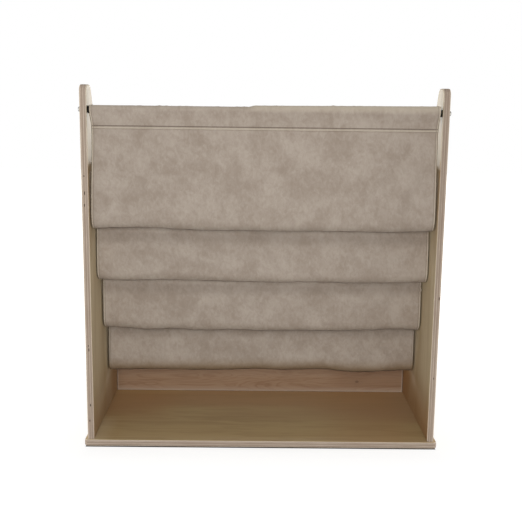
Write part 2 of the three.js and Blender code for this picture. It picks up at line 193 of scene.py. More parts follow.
class StageSettings(bpy.types.PropertyGroup):
    """Camera, lamps and floor"""
    place: FloatVectorProperty(
        name="Camera place", description="Where the camera stands",
        default=(-0.0222, -2.0615, 0.7916), subtype="TRANSLATION", unit="LENGTH", size=3,
    )
    focal: FloatProperty(
        name="Focal length", description="Lens length on a 36 mm sensor",
        default=60.57, unit="CAMERA",
    )
    turn: FloatVectorProperty(
        name="Camera turn", description="Turn to the right, tilt down and roll",
        default=(math.radians(0.531), math.radians(10.773), math.radians(0.704)),
        subtype="EULER", unit="ROTATION", size=3,
    )
    front_power: power_setting("Front lamp", "Power of the soft lamp by the camera", 25.3)
    back_power: power_setting("Back lamp", "Power of the soft lamp at the display side", 10)
    side_power: power_setting("Side lamps", "Power of the soft lamps at the two ends", 5)
    top_power: power_setting("Top lamp", "Power of the soft lamp overhead", 1)
    ambient: FloatProperty(
        name="Room light", description="Strength of the light from all round",
        default=0.45, min=0,
    )
    shadow_share: FloatProperty(
        name="Floor shadow", description="How much of the shadow the white floor shows",
        default=0.45, subtype="FACTOR", min=0, max=1,
    )
    floor: colour_setting("Floor", "Pale studio floor", 235, 234, 232)
    # Painted shadow on the floor in the gap under the base board
    gap_shadow: colour_setting("Gap", "Floor in the gap under the base board", 70, 64, 58)
    floor_size: length_setting("Floor size", "Side of the square floor", 14)


SETTING_GROUPS = {
    "shelf_boards": BoardSettings,
    "shelf_metal": MetalSettings,
    "shelf_cloth": ClothSettings,
    "shelf_stage": StageSettings,
}


# Node trees

def math_method(operation, swapped=False):
    """A method that adds a Math node; swapped puts the wire behind the other value."""
    def method(wire, *others):
        values = (*others, wire) if swapped else (wire, *others)
        return wire.tree.node("ShaderNodeMath", {"operation": operation}, dict(enumerate(values)))
    return method


class Wire:
    """A number socket. Arithmetic on it adds Math nodes to its tree."""
    __add__, __radd__ = math_method("ADD"), math_method("ADD", swapped=True)
    __sub__, __rsub__ = math_method("SUBTRACT"), math_method("SUBTRACT", swapped=True)
    __mul__, __rmul__ = math_method("MULTIPLY"), math_method("MULTIPLY", swapped=True)
    __truediv__ = math_method("DIVIDE")
    __mod__ = math_method("FLOORED_MODULO")
    __abs__ = math_method("ABSOLUTE")
    floor = math_method("FLOOR")
    fraction = math_method("FRACT")
    larger = math_method("MAXIMUM")

    def __init__(self, tree, socket):
        self.tree = tree
        self.socket = socket

    def output(self, name):
        """Another output of the same node."""
        return Wire(self.tree, self.socket.node.outputs[name])

    def rise(self, low, high):
        """0 below low, 1 above high, and smooth between; high may be the lower one."""
        return self.tree.node(
            "ShaderNodeMapRange", {"interpolation_type": "SMOOTHSTEP"},
            {"Value": self, "From Min": low, "From Max": high},
        )


class Tree:
    """A node tree in the making."""

    def __init__(self, tree):
        self.tree = tree

    def node(self, kind, settings=None, inputs=None, output=0):
        """Adds a node with its settings, then fills its sockets, and returns one output."""
        node = self.tree.nodes.new(kind)
        for name, value in (settings or {}).items():
            setattr(node, name, value)
        for key, value in (inputs or {}).items():
            if isinstance(value, Wire):
                self.tree.links.new(value.socket, node.inputs[key])
            else:
                node.inputs[key].default_value = value
        return Wire(self, node.outputs[output] if len(node.outputs) else None)


class Finish(Tree):
    """A material in the making."""

    def __init__(self, name):
        self.material = bpy.data.materials.new(name)
        self.material.use_nodes = True
        super().__init__(self.material.node_tree)
        self.tree.nodes.clear()

    def object_place(self):
        return self.node("ShaderNodeTexCoord", output="Object")

    def axes(self, vector):
        x = self.node("ShaderNodeSeparateXYZ", inputs={0: vector})
        return x, x.output("Y"), x.output("Z")

    def vector(self, x, y, z):
        return self.node("ShaderNodeCombineXYZ", inputs={0: x, 1: y, 2: z})

    def noise(self, vector, scale=1.0, detail=2.0, roughness=0.5, distortion=0.0):
        return self.node("ShaderNodeTexNoise", inputs={
            "Vector": vector, "Scale": scale, "Detail": detail,
            "Roughness": roughness, "Distortion": distortion,
        })

    def mix(self, share, first, second):
        """A colour between two colours, each a wire or a setting's colour."""
        first, second = (c if isinstance(c, Wire) else (*c, 1) for c in (first, second))
        return self.node(
            "ShaderNodeMix", {"data_type": "RGBA"}, {0: share, 6: first, 7: second}, output=2)

    def patched(self, colour, settings, wires, patches):
        """Mixes patches into a colour, one after the other. A patch has the setting of its
        tone and pairs of a strength and the ramps of a zone; the strongest pair counts."""
        for tone, *pairs in patches:
            shares = [zone(wires, ramps) * strength for strength, ramps in pairs]
            colour = self.mix(reduce(Wire.larger, shares), colour, getattr(settings, tone))
        return colour

    def bump(self, height, strength, distance):
        return self.node("ShaderNodeBump", inputs={
            "Height": height, "Strength": strength, "Distance": distance,
        })

    def surface(self, **inputs):
        """Ends the material in a Principled surface."""
        named = {name.replace("_", " "): value for name, value in inputs.items()}
        shader = self.node("ShaderNodeBsdfPrincipled", inputs=named)
        self.node("ShaderNodeOutputMaterial", inputs={"Surface": shader})
        return self.material


def zone(wires, ramps):
    """1 where every ramp is full, 0 where one hasn't begun. A ramp on a named wire has its
    start and where it is full, and perhaps the place up to which it is full and its end."""
    share = 1
    for name, (start, full, *rest) in ramps.items():
        share = wires[name].rise(start, full) * share
        if rest:
            last, end = rest
            share = wires[name].rise(end, last) * share
    return share


class Modifier(Tree):
    """A Geometry Nodes tree in the making, with named inputs."""

    def __init__(self, name, inputs):
        super().__init__(bpy.data.node_groups.new(name, "GeometryNodeTree"))
        interface = self.tree.interface
        interface.new_socket("Geometry", in_out="INPUT", socket_type="NodeSocketGeometry")
        for label, kind in inputs.items():
            interface.new_socket(label, in_out="INPUT", socket_type=f"NodeSocket{kind}")
        interface.new_socket("Geometry", in_out="OUTPUT", socket_type="NodeSocketGeometry")
        self.group = self.node("NodeGroupInput")

    def input(self, label):
        return self.group.output(label)

    def end(self, geometry, material):
        """Realizes the instances, sets their material and closes the tree."""
        real = self.node("GeometryNodeRealizeInstances", inputs={0: geometry})
        made = self.node("GeometryNodeSetMaterial", inputs={"Geometry": real, "Material": material})
        self.node("NodeGroupOutput", inputs={"Geometry": made})
        return self.tree


def evaluated(name, source, tree, values):
    """Runs a Geometry Nodes tree on a mesh and keeps the result as a plain mesh object."""
    carrier = link(name + "_source", source)
    modifier = carrier.modifiers.new(name, "NODES")
    modifier.node_group = tree
    for label, value in values.items():
        modifier[tree.interface.items_tree[label].identifier] = value
    result = carrier.evaluated_get(bpy.context.evaluated_depsgraph_get())
    made = bpy.data.meshes.new_from_object(result)
    bpy.data.objects.remove(carrier)
    made.name = name
    return link(name, made)


def link(name, data):
    """A new object in the scene with this mesh, lamp or lens."""
    piece = bpy.data.objects.new(name, data)
    bpy.context.scene.collection.objects.link(piece)
    return piece


def new_mesh(name, points, edges=(), faces=()):
    mesh = bpy.data.meshes.new(name)
    mesh.from_pydata(points, edges, faces)
    return mesh


def settle(piece, slot, *nodes):
    """Makes a finished piece ride on the frame in place of the nodes that it stands for."""
    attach(piece, "root")
    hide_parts(*nodes)


# Plywood

# The nodes of each kind of board, of which the first is measured
BOARDS = {
    "side": ("side_panel_right", "side_panel_left"),
    "base": ("base_board",),
    "rail": ("toe_rail",),
}
# How each kind of board is veneered: axes along the grain, across it and through the
# board, tones of the veneer, its streaks and its zones, liveliness of the figure, zones
# a metre, and how strongly the zones show
VENEERS = {
    "side": ("zyx", ("face", "face_streak", "base_face"), 0.6, 11, 0.55),
    "base": ("xyz", ("base_face", "base_streak", "base_warm_and_shade"), 0.6, 5, 1),
    "rail": ("xzy", ("rail_face", "rail_streak", "rail_face"), 1.5, 5, 1),
}
# Noise cells a metre along the grain, cells through the board, and cells a metre across
GROWTH_CELLS = (2.2, 0.4, 20)
FIBRE_CELLS = (14, 9, 520)
ZONE_LENGTH_CELLS = 1.4
GROWTH_RINGS = 7
STREAK_STRENGTH = 0.8
# How far the plies waver, as a share of the thickness, and noise cells a metre of that,
# of the patchy glue lines and of the end grain's speckle
WAVER = 0.02
WAVER_CELLS, PATCH_CELLS, SPECKLE_CELLS = 7, 34, 1500

# X, Z and height of the gaps that show in the plies at the storage edge of the sides
BOARD_VOIDS = (
    (-0.3859, 0.577, 0.0045), (-0.3865, 0.551, 0.0035), (0.3897, 0.352, 0.004),
    (-0.3862, 0.2365, 0.0022), (-0.3853, 0.2272, 0.0042), (-0.3864, 0.614, 0.002),
    (-0.3848, 0.098, 0.0035), (-0.3871, 0.061, 0.0026), (0.3862, 0.168, 0.0024),
)
VOID_WIDTH = 1.1 * MM
VOID_REACH = 10 * MM
# X and Z of the rail's small knot, and half its size along both
KNOT_PLACE = (0.256, 0.046)
KNOT_SIZE = (6 * MM, 4.2 * MM)

# Browner and paler patches, some of the wood itself and some painted shade and painted light.
# "x", "y" and "z" are places, "end" and "foot" are distances from those of the rail, "depth" is
# the share of the thickness, for the sides from their inner face, "knot" is the distance from the
# knot in knot sizes and "rings" its rings.
INNER_FACE = (0.3, 0.1)
# Zones of painted shade on the sides' inner faces: towards the back, along the foot, low down, and
# more on the right side
CORNER_BACK = {"y": (-0.03, 0.11)}
CORNER_FOOT = {"z": (0.17, 0.03)}
CORNER = {"depth": INNER_FACE, "z": (0.26, 0.08)}
RIGHT_SIDE = {"x": (-0.1, 0.1)}
# Painted shade on the sides' inner faces near the storage edge, below the height at which the top
# pocket stops the light
SIDE_PATCHES = (
    ("base_warm_and_shade", (0.8, {
        "z": (0.38, 0.58, 0.63, 0.66), "y": (-0.12, -0.15), "depth": INNER_FACE})),
)
SIDE_EDGE_PATCHES = (("glue", (0.3, {"x": (0, 0.1), "z": (0.15, 0.6)})),)
# Painted shade on the base board at the left towards the back and on the right, and painted light
# at its far left front
BASE_PATCHES = (
    ("corner_shade", (0.5, {"x": (-0.16, -0.3), "y": (-0.1, 0.02)}),
     (0.375, {"x": (0.08, 0.26, 0.3, 0.38)})),
    ("face", (0.3, {"x": (-0.33, -0.375), "y": (0, -0.1)})),
)
RAIL_PATCHES = (
    ("glue", (0.4, {"rings": (0.4, 0.8), "knot": (4.5, 1.2)})),
    ("void", (0.5, {"knot": (1.1, 0.4)})),
    # A paler band low on the rail, and a painted highlight along its top, where the lowest pocket's
    # foot shades it
    ("edge_cross", (0.36, {"z": (0.034, 0.022)}), (0.144, {"z": (0.05, 0.066)})),
    ("rail_streak", (0.3, {"x": (0.16, 0.22), "z": (0.026, 0.036)})),
    ("edge_cross", (0.6, {"end": (4.5 * MM, 3 * MM)}), (0.6, {"foot": (6 * MM, 3 * MM)})),
    ("void", (0.8, {"end": (1.6 * MM, 1 * MM)})),
)


def knot_distance(finish, x, z):
    """Distance from the rail's knot, in knot sizes."""
    offset = finish.vector(
        (x - KNOT_PLACE[0]) / KNOT_SIZE[0], (z - KNOT_PLACE[1]) / KNOT_SIZE[1], 0)
    return finish.node("ShaderNodeVectorMath", {"operation": "LENGTH"}, {0: offset}, "Value")


def void_mask(x, y, z):
    """1 in the small voids of the side panels' storage edges."""
    storage_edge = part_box("side_panel_left")[0].y + VOID_REACH
    total = 0
    for place_x, place_z, height in BOARD_VOIDS:
        across = (x - place_x) / VOID_WIDTH
        up = (z - place_z) / height
        total = (across * across + up * up).rise(1.4, 0.5) + total
    return total * y.rise(storage_edge + VOID_REACH, storage_edge)


def cut_plies(finish, wires, place, fibres):
    """Colour of the plies on a cut edge, with the relief of their glue lines and of their
    end grain."""
    boards = bpy.context.scene.shelf_boards
    waver = finish.noise(place, WAVER_CELLS, 1)
    ply = (wires["depth"] + (waver - 0.5) * WAVER) * boards.ply_count
    is_cross = ply.floor() % 2
    off_middle = abs(ply.fraction() - 0.5)
    speckle = finish.noise(place, SPECKLE_CELLS, roughness=0.7)
    long_streak = finish.noise(fibres, 0.8)
    long_ply = finish.mix(long_streak.rise(0.3, 0.75), boards.edge_long, boards.edge_cross)
    cross_ply = finish.mix(speckle.rise(0.3, 0.8) * 0.5, boards.edge_cross, boards.glue)
    colour = finish.mix(is_cross, long_ply, cross_ply)
    tone = finish.node("ShaderNodeTexWhiteNoise", {"noise_dimensions": "1D"}, {"W": ply.floor()})
    colour = finish.mix(tone.rise(0.55, 1) * 0.5, colour, boards.glue)
    patchy = finish.noise(place, PATCH_CELLS, roughness=0.6).rise(0.35, 0.68)
    glue_line = off_middle.rise(0.40, 0.5) * (0.35 + 0.6 * patchy)
    colour = finish.mix(glue_line, colour, boards.glue)
    # The outer veneers are paler, partly a painted highlight along the eased edges
    skin = wires["depth"].rise(0.1, 0.08).larger(wires["depth"].rise(0.9, 0.92))
    return finish.mix(skin, colour, boards.edge_skin_and_highlight), off_middle, speckle * is_cross


def plywood(kind, node):
    """Birch plywood on object coordinates for one kind of board, measured on a node."""
    boards = bpy.context.scene.shelf_boards
    axes, tones, figure, zones, zone_strength = VENEERS[kind]
    face, streak, warm = (getattr(boards, tone) for tone in tones)
    finish = Finish(f"{kind} plywood")
    place = finish.object_place()
    x, y, z = finish.axes(place)
    wires = {"x": x, "y": y, "z": z}
    along, across, through = (wires[axis] for axis in axes)
    low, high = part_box(node)
    near, far = getattr(low, axes[2]), getattr(high, axes[2])
    depth = ((abs(x) if kind == "side" else through) - near) / (far - near)
    wires["depth"] = depth

    def cells(along_count, depth_count, across_count):
        return finish.vector(along * along_count, depth * depth_count, across * across_count)

    growth = finish.noise(
        cells(*GROWTH_CELLS), 1.3, 3, roughness=0.55, distortion=0.9 * figure)
    fibres = cells(*FIBRE_CELLS)
    fibre = finish.noise(fibres, roughness=0.6)
    broad = finish.noise(cells(ZONE_LENGTH_CELLS, 1, zones))
    bands = (growth * GROWTH_RINGS * figure + broad * 2).fraction()
    line = bands.rise(0.1, 0.75) * bands.rise(1.0, 0.75)
    streaks = (line * 0.38 + (growth - 0.35) * 0.8 + (fibre - 0.5) * 0.5).rise(0, 1)
    colour = finish.mix(broad.rise(0.4, 0.62) * zone_strength, face, warm)
    if kind == "side":
        # Painted shade on the sides' inner faces: low in the back corners, deeper on the right
        # side, and near the storage edge
        corner = zone(wires, CORNER_BACK).larger(zone(wires, CORNER_FOOT) * 0.8)
        corner = corner * zone(wires, CORNER)
        colour = finish.mix(corner, colour, boards.base_warm_and_shade)
        colour = finish.mix(corner * zone(wires, RIGHT_SIDE) * 0.8, colour, boards.corner_shade)
        colour = finish.patched(colour, boards, wires, SIDE_PATCHES)
        streaks = streaks * (1 - 0.6 * corner)
    colour = finish.mix(streaks * STREAK_STRENGTH, colour, streak)
    if kind == "base":
        # Painted shade and painted light on the base board
        colour = finish.patched(colour, boards, wires, BASE_PATCHES)
    if kind == "rail":
        knot = knot_distance(finish, x, z)
        wires.update(knot=knot, rings=(knot * 1.6 + fibre).fraction())
        wires.update(end=high.x - abs(x), foot=z - low.z)
        colour = finish.patched(colour, boards, wires, RAIL_PATCHES)
        display_face = finish.mix(streaks * STREAK_STRENGTH, boards.face, boards.face_streak)
        colour = finish.mix(depth.rise(0.4, 0.6), colour, display_face)

    plies, glue_relief, end_relief = cut_plies(finish, wires, place, fibres)
    if kind == "side":
        plies = finish.patched(plies, boards, wires, SIDE_EDGE_PATCHES)
    inside = zone(wires, {"depth": (0.02, 0.06, 0.94, 0.98)})
    colour = finish.mix(inside, colour, plies)
    if kind == "side":
        colour = finish.mix(void_mask(x, y, z), colour, boards.void)
    relief = fibre * 0.5 + glue_relief * inside + end_relief * inside * 0.6
    return finish.surface(
        Base_Color=colour,
        Roughness=0.56 + 0.12 * fibre + 0.14 * inside,
        Normal=finish.bump(relief, 0.35, 0.15 * MM),
        Specular_IOR_Level=0.3,
    )


class BOOKSHELF_OT_boards(bpy.types.Operator):
    """Give the sides, the base board and the toe rail their plywood"""
    bl_idname = "bookshelf.boards"
    bl_label = "Finish the boards"

    def execute(self, context):
        for kind, nodes in BOARDS.items():
            material = plywood(kind, nodes[0])
            for node in nodes:
                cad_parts[node].material_slots[0].material = material
        return {"FINISHED"}


# Turned and metal pieces

CREASE_ANGLE = math.radians(32)
FEW_SIDES, MANY_SIDES = 36, 48
BOLT_SHANK = 3 * MM
BOLT_BEVEL = 0.25 * MM
# The socket's lip in corner radii of the socket, and the steps of the dome outside it
SOCKET_LIP = 1.12
DOME_STEPS = 7
SCREW_BEVEL = 0.2 * MM
SCREW_POINT = 4 * MM
# Reach and width of the cross recess at its bottom, as shares of those at the top
CROSS_BOTTOM = (0.55, 0.7)
GLIDE_EDGE = 0.6 * MM
FELT = tint(84, 80, 76)
BEECH = tint(205, 172, 132)


def plain_finish(name, colour, roughness, grain, depth, **extra):
    """A finish with a fine even texture, grain being its noise scale and depth its relief."""
    finish = Finish(name)
    place = finish.object_place()
    fine = finish.noise(place, grain, 3, 0.6)
    patches = finish.noise(place, grain / 12, 2)
    deeper = tuple(channel * 0.72 for channel in colour)
    shade = finish.mix((fine * 0.6 + patches * 0.4).rise(0.3, 0.7), colour, deeper)
    return finish.surface(
        Base_Color=shade,
        Roughness=roughness + 0.2 * (patches - 0.5),
        Normal=finish.bump(fine, 0.3, depth),
        **extra,
    )


def turned(name, rings, sides):
    """A closed turned mesh about Z, from its lowest ring round to its last one. Each ring
    is a height and a radius, or a function of the angle that gives the radius; the first
    and last ring close on the axis."""
    angles = [2 * math.pi * side / sides for side in range(sides)]
    points = [(0, 0, rings[0][0])]
    for height, radius in rings:
        reach = radius if callable(radius) else lambda angle, radius=radius: radius
        points += [(reach(a) * math.cos(a), reach(a) * math.sin(a), height) for a in angles]
    points.append((0, 0, rings[-1][0]))
    faces = []
    for side in range(sides):
        after = (side + 1) % sides
        faces.append((0, 1 + after, 1 + side))
        for start in range(1, len(points) - 1 - sides, sides):
            above = start + sides
            faces.append((start + side, start + after, above + after, above + side))
        faces.append((above + side, above + after, len(points) - 1))
    mesh = new_mesh(name, points, faces=faces)
    mesh.validate()
    mesh.shade_smooth()
    mesh.set_sharp_from_angle(angle=CREASE_ANGLE)
    return mesh


def hexagon(across):
    """Radius of a hexagon at an angle, for its size across the flats."""
    sixth = math.pi / 3
    return lambda angle: across / 2 / math.cos(angle % sixth - sixth / 2)


def cross(reach, half_width):
    """Radius of a cross at an angle."""
    def radius(angle):
        cosine, sine = (max(abs(f(angle)), 1e-6) for f in (math.cos, math.sin))
        lying = min(reach / cosine, half_width / sine)
        standing = min(reach / sine, half_width / cosine)
        return max(lying, standing)
    return radius


def bolt_mesh(metal):
    """Domed bolt: its head's seat lies at height 0 and its shank points down."""
    head = extent("rod_bolt_1_right")
    radius, top = head.y / 2, metal.head_height
    end = top - head.x
    dome_height = top - metal.head_rim
    sphere = (radius ** 2 + dome_height ** 2) / (2 * dome_height)
    socket = hexagon(metal.socket_across)
    lip = math.asin(SOCKET_LIP * metal.socket_across / math.sqrt(3) / sphere)
    rim = math.asin(radius / sphere)

    def dome(angle):
        return top - sphere * (1 - math.cos(angle)), sphere * math.sin(angle)

    rings = [(top - metal.socket_depth, socket), (dome(lip)[0] - BOLT_BEVEL, socket)]
    rings += [dome(lip + (rim - lip) * step / DOME_STEPS) for step in range(DOME_STEPS + 1)]
    rings += [
        (BOLT_BEVEL, radius), (0, radius - BOLT_BEVEL), (0, BOLT_SHANK),
        (end + BOLT_BEVEL, BOLT_SHANK), (end, BOLT_SHANK - BOLT_BEVEL),
    ]
    return turned("bolt", rings[::-1], FEW_SIDES)


def screw_mesh(metal):
    """Countersunk screw: its head's face lies at height 0 and its shank points down."""
    size = extent("foot_screw_1_left")
    radius, bevel = size.x / 2, SCREW_BEVEL
    shank = radius / 2
    reach, width = metal.cross_reach, metal.cross_width
    rings = [
        (-metal.cross_depth, cross(reach * CROSS_BOTTOM[0], width * CROSS_BOTTOM[1])),
        (-bevel, cross(reach, width)), (0, cross(reach + bevel, width + bevel)),
        (0, radius - bevel), (-bevel, radius),
        (-(radius - shank), shank), (-size.z + SCREW_POINT, shank), (-size.z, bevel),
    ]
    return turned("screw", rings[::-1], MANY_SIDES)


def glide_mesh():
    """Felt disc that stands on the floor, its upper face at height 0."""
    size = extent("glide_rear_left")
    radius, foot = size.x / 2, -size.z
    rings = [
        (foot, radius - GLIDE_EDGE), (foot + GLIDE_EDGE * 0.4, radius - GLIDE_EDGE * 0.3),
        (foot + GLIDE_EDGE, radius), (0, radius),
    ]
    return turned("glide", rings, MANY_SIDES)


def seats_tree():
    """Geometry nodes that set one fastener on each seat, along the seat's outward axis."""
    tree = Modifier("fasteners on their seats", {
        "Fastener": "Object", "Finish": "Material", "Seed": "Int",
    })
    axis = tree.node(
        "GeometryNodeInputNamedAttribute", {"data_type": "FLOAT_VECTOR"}, {"Name": "outward"})
    aimed = tree.node("FunctionNodeAlignRotationToVector", {"axis": "Z"}, {"Vector": axis})
    chance = tree.node(
        "FunctionNodeRandomValue", {"data_type": "FLOAT"},
        {"Min": 0.0, "Max": 2 * math.pi, "Seed": tree.input("Seed")}, output="Value")
    spin = tree.node("ShaderNodeCombineXYZ", inputs={2: chance})
    turned_in = tree.node(
        "FunctionNodeRotateRotation", {"rotation_space": "LOCAL"}, {0: aimed, 1: spin})
    shape = tree.node(
        "GeometryNodeObjectInfo", {"transform_space": "ORIGINAL"},
        {"Object": tree.input("Fastener")}, output="Geometry")
    placed = tree.node("GeometryNodeInstanceOnPoints", inputs={
        "Points": tree.input("Geometry"), "Instance": shape, "Rotation": turned_in,
    })
    return tree.end(placed, tree.input("Finish"))


def on_seats(name, fastener, axes, material, seed, inset=0.0):
    """One piece with a copy of the fastener on each node's seat. The axes give the outward
    axis of each node, and the seat lies inset from the node's end on that axis."""
    seats = []
    for node, axis in axes.items():
        outward = Vector(axis)
        seats.append(middle(node) + outward * (abs(outward.dot(extent(node))) / 2 - inset))
    points = new_mesh(name + "_seats", seats)
    outward = points.attributes.new("outward", "FLOAT_VECTOR", "POINT")
    outward.data.foreach_set("vector", [value for axis in axes.values() for value in axis])
    pattern = link(name + "_pattern", fastener)
    piece = evaluated(name, points, seats_tree(), {
        "Fastener": pattern, "Finish": material, "Seed": seed,
    })
    bpy.data.objects.remove(pattern)
    return piece


def rods_tree():
    """Geometry nodes that lay equal tubes along X, each one step from the last."""
    tree = Modifier("rods in a falling line", {
        "Diameter": "Float", "Wall": "Float", "Length": "Float", "Bevel": "Float",
        "Count": "Int", "First": "Vector", "Step": "Vector", "Finish": "Material",
    })
    outer = tree.input("Diameter") / 2
    ring = tree.node("GeometryNodeCurvePrimitiveCircle", {"mode": "RADIUS"}, {
        "Resolution": MANY_SIDES, "Radius": outer - tree.input("Wall") / 2,
    })
    wall = tree.node("GeometryNodeCurvePrimitiveQuadrilateral", inputs={
        "Width": tree.input("Wall"), "Height": tree.input("Length"),
    })
    rounded = tree.node("GeometryNodeFilletCurve", inputs={
        "Curve": wall, "Radius": tree.input("Bevel"), "Limit Radius": True,
    })
    tube = tree.node("GeometryNodeCurveToMesh", inputs={"Curve": ring, "Profile Curve": rounded})
    lying = tree.node("GeometryNodeTransform", inputs={
        "Geometry": tube, "Rotation": (0, math.pi / 2, 0),
    })
    smooth = tree.node("GeometryNodeSetShadeSmooth", inputs={"Geometry": lying})
    places = tree.node("GeometryNodeMeshLine", {"mode": "OFFSET"}, {
        "Count": tree.input("Count"), "Start Location": tree.input("First"),
        "Offset": tree.input("Step"),
    })
    laid = tree.node("GeometryNodeInstanceOnPoints", inputs={"Points": places, "Instance": smooth})
    return tree.end(laid, tree.input("Finish"))


class BOOKSHELF_OT_rods(bpy.types.Operator):
    """Lay the five black rods between the sides"""
    bl_idname = "bookshelf.rods"
    bl_label = "Lay the rods"

    def execute(self, context):
        metal = context.scene.shelf_metal
        size = extent("rod_1")
        first = middle("rod_1")
        material = plain_finish(
            "black powder coat", metal.rod_colour, 0.5, 2600, 0.04 * MM,
            Specular_IOR_Level=0.25)
        piece = evaluated("rods", bpy.data.meshes.new("rods_source"), rods_tree(), {
            "Diameter": size.z, "Wall": metal.rod_wall, "Length": size.x,
            "Bevel": metal.rod_bevel, "Count": len(RODS), "First": first,
            "Step": middle("rod_2") - first, "Finish": material,
        })
        settle(piece, "black_rod", *(f"rod_{rod}" for rod in RODS))
        return {"FINISHED"}


class BOOKSHELF_OT_fasteners(bpy.types.Operator):
    """Set the bolts, screws, inserts, dowels and glides"""
    bl_idname = "bookshelf.fasteners"
    bl_label = "Set the fasteners"

    def execute(self, context):
        metal = context.scene.shelf_metal
        steel = plain_finish("zinc plated steel", metal.steel, 0.34, 1800, 0.03 * MM, Metallic=1.0)
        felt = plain_finish("grey felt", FELT, 0.95, 2200, 0.3 * MM)
        beech = plain_finish("beech", BEECH, 0.6, 900, 0.1 * MM)

        bolts = {f"rod_bolt_{rod}_{side}": (sign, 0, 0) for side, sign in SIDES for rod in RODS}
        set_bolts = on_seats("bolts", bolt_mesh(metal), bolts, steel, 3, metal.head_height)
        settle(set_bolts, "bright_steel", *bolts)

        screws = [f"foot_screw_{n}_{side}" for side, _ in SIDES for n in (1, 2, 3)]
        screws = dict.fromkeys(screws + [f"rail_screw_{n}" for n in (1, 2, 3, 4)], (0, 0, -1))
        settle(on_seats("screws", screw_mesh(metal), screws, steel, 5), "bright_steel", *screws)

        glides = sorted(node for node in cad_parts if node.startswith("glide_"))
        glides = dict.fromkeys(glides, (0, 0, 1))
        settle(on_seats("glides", glide_mesh(), glides, felt, 7), "glide_felt", *glides)

        for name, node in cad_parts.items():
            if "insert" in name:
                node.material_slots[0].material = steel
            if "dowel" in name:
                node.material_slots[0].material = beech
        return {"FINISHED"}


# Cloth

# How each pocket hangs: how much lower its foot lies than planned, in millimetres, at
# seven places from the left hem to the right, and how far its side edges pull in or
# flare out at the seam and at the foot.
FOOT_DROPS = {
    1: (-4.5, -4, -1, -0.5, -1, 0, -4),
    2: (0.5, -0.5, 1.5, 2, 2.5, 3, -1),
    3: (5, 7.5, 10, 9, 7.5, 5.5, 3.5),
    4: (5, 3.2, 2.6, 1.8, -3, 6.5, -1),
}
# Width of the blend between those places, in steps from one to the next
DROP_BLEND = 0.62
EDGE_AT_SEAM = {1: (-3.8, -2.2), 2: (-1, -0.4), 3: (-0.8, 0.2), 4: (-1, 0.2)}
EDGE_AT_FOOT = {1: (1.4, 0.8), 2: (2.2, 2.2), 3: (0.6, 1.4), 4: (0.2, 1)}
SLEEVE_PULL = 0.9 * MM

# Soft folds in each rear wall: X and drop below the rod of both ends, half the width, and
# height towards the storage side, all in millimetres
FOLDS = {
    1: (
        (372, 44, 222, 190, 20, -4.4), (372, 70, 262, 240, 16, 2.7),
        (-368, 40, -250, 150, 26, -2.0), (-60, 235, 40, 262, 12, 1.5),
        (130, 225, 190, 262, 14, -2.0),
    ),
    2: (
        (372, 150, 280, 210, 16, -2.4), (-180, 232, -90, 252, 9, 1.7),
        (210, 170, 265, 250, 18, 1.7),
    ),
    3: ((300, 170, 372, 140, 12, -2.2), (-150, 228, 60, 250, 12, 1.4)),
    4: (
        (318, 170, 240, 246, 16, -4.4), (345, 200, 285, 262, 12, 2.7),
        (60, 240, 150, 224, 16, 2.4), (-240, 190, -190, 262, 22, 1.5),
    ),
}
# The crumpled right edge of one pocket, its reach across a share of the width
CRUMPLE = {
    "pocket": 3, "drop": 157 * MM, "reach": 10 * MM, "height": 3.4 * MM,
    "waves": 4.8, "lean": 0.3, "across": (0.47, 0.5),
}
# The top sleeve stands a little off its rod to the right of "from", more and more to its end
LOFT = {
    "pocket": 1, "from": -28 * MM, "blend": 8 * MM, "first": 3 * MM, "end": 5.6 * MM,
    "sleeve": (8 * MM, 44 * MM),
}
# Random fields: wavelength, and a seed to which the pocket's number is added
FIELDS = {
    "swing": (0.26, 40), "broad": (0.15, 100), "middling": (0.045, 200),
    "fine": (0.018, 300), "gather": (0.02, 400), "pucker": (0.011, 500),
}
# Unevenness of the walls: field, height, and how much it is stretched along the cloth
UNEVENNESS = (("broad", 0.7 * MM, 1), ("middling", 0.22 * MM, 0.6), ("fine", 0.08 * MM, 1))
# Where the walls' unevenness fades below the upper seam and above the lower one, and the
# sleeve's gathers past its seam and beside the tail
WALL_FADE = (70 * MM, 60 * MM)
GATHER_FADE, TAIL_FADE = 4 * MM, (4 * MM, 12 * MM)
# Where the folds fade at their ends, and the edges' flare from the seam to the foot
FOLD_START, FOLD_END = (-0.12, 0.25), (1.12, 0.6)
FLARE = (0.05, 0.8)
SWING = 1.1 * MM
GATHER_DEPTH = 0.2 * MM
PUCKER_HEIGHT, PUCKER_REACH = 0.12 * MM, 9 * MM
LAYER_GAP = 0.1 * MM
# How softly a hem's inner layer ends, and where the tail's inner layer does before the seam
HEM_BLEND, TAIL_BLEND = 0.25 * MM, (0.6 * MM, 1.2 * MM)
SEAM_DIP, SEAM_DIP_REACH = 0.22 * MM, 0.7 * MM
# Mesh steps in millimetres beside a seam or hem line and beside an edge
LINE_STEPS = (-1.6, -0.9, -0.4, 0, 0.4, 0.9, 1.6)
LINE_CLEARANCE = 1.9 * MM
EDGE_STEPS = (0.05, 0.2, 0.45, 0.8)
LEAST_STEP = 0.12 * MM
SLEEVE_STEP, SLEEVE_MARGIN = 1.6 * MM, 30 * MM
STITCH_INSET = 2 * MM
STITCH_POINTS = {"across": 190, "along": 150}


def soft_field(first, second, wavelength, seed, waves):
    """A smooth random height of about one, made of waves that cross each other."""
    chance = np.random.default_rng(seed)
    total = 0
    for _ in range(waves):
        direction, phase = chance.uniform(0, math.pi), chance.uniform(0, 2 * math.pi)
        pitch = 2 * math.pi / (wavelength * chance.uniform(0.7, 1.7))
        total = total + np.sin(
            pitch * (first * math.cos(direction) + second * math.sin(direction)) + phase)
    return total / math.sqrt(waves / 2)


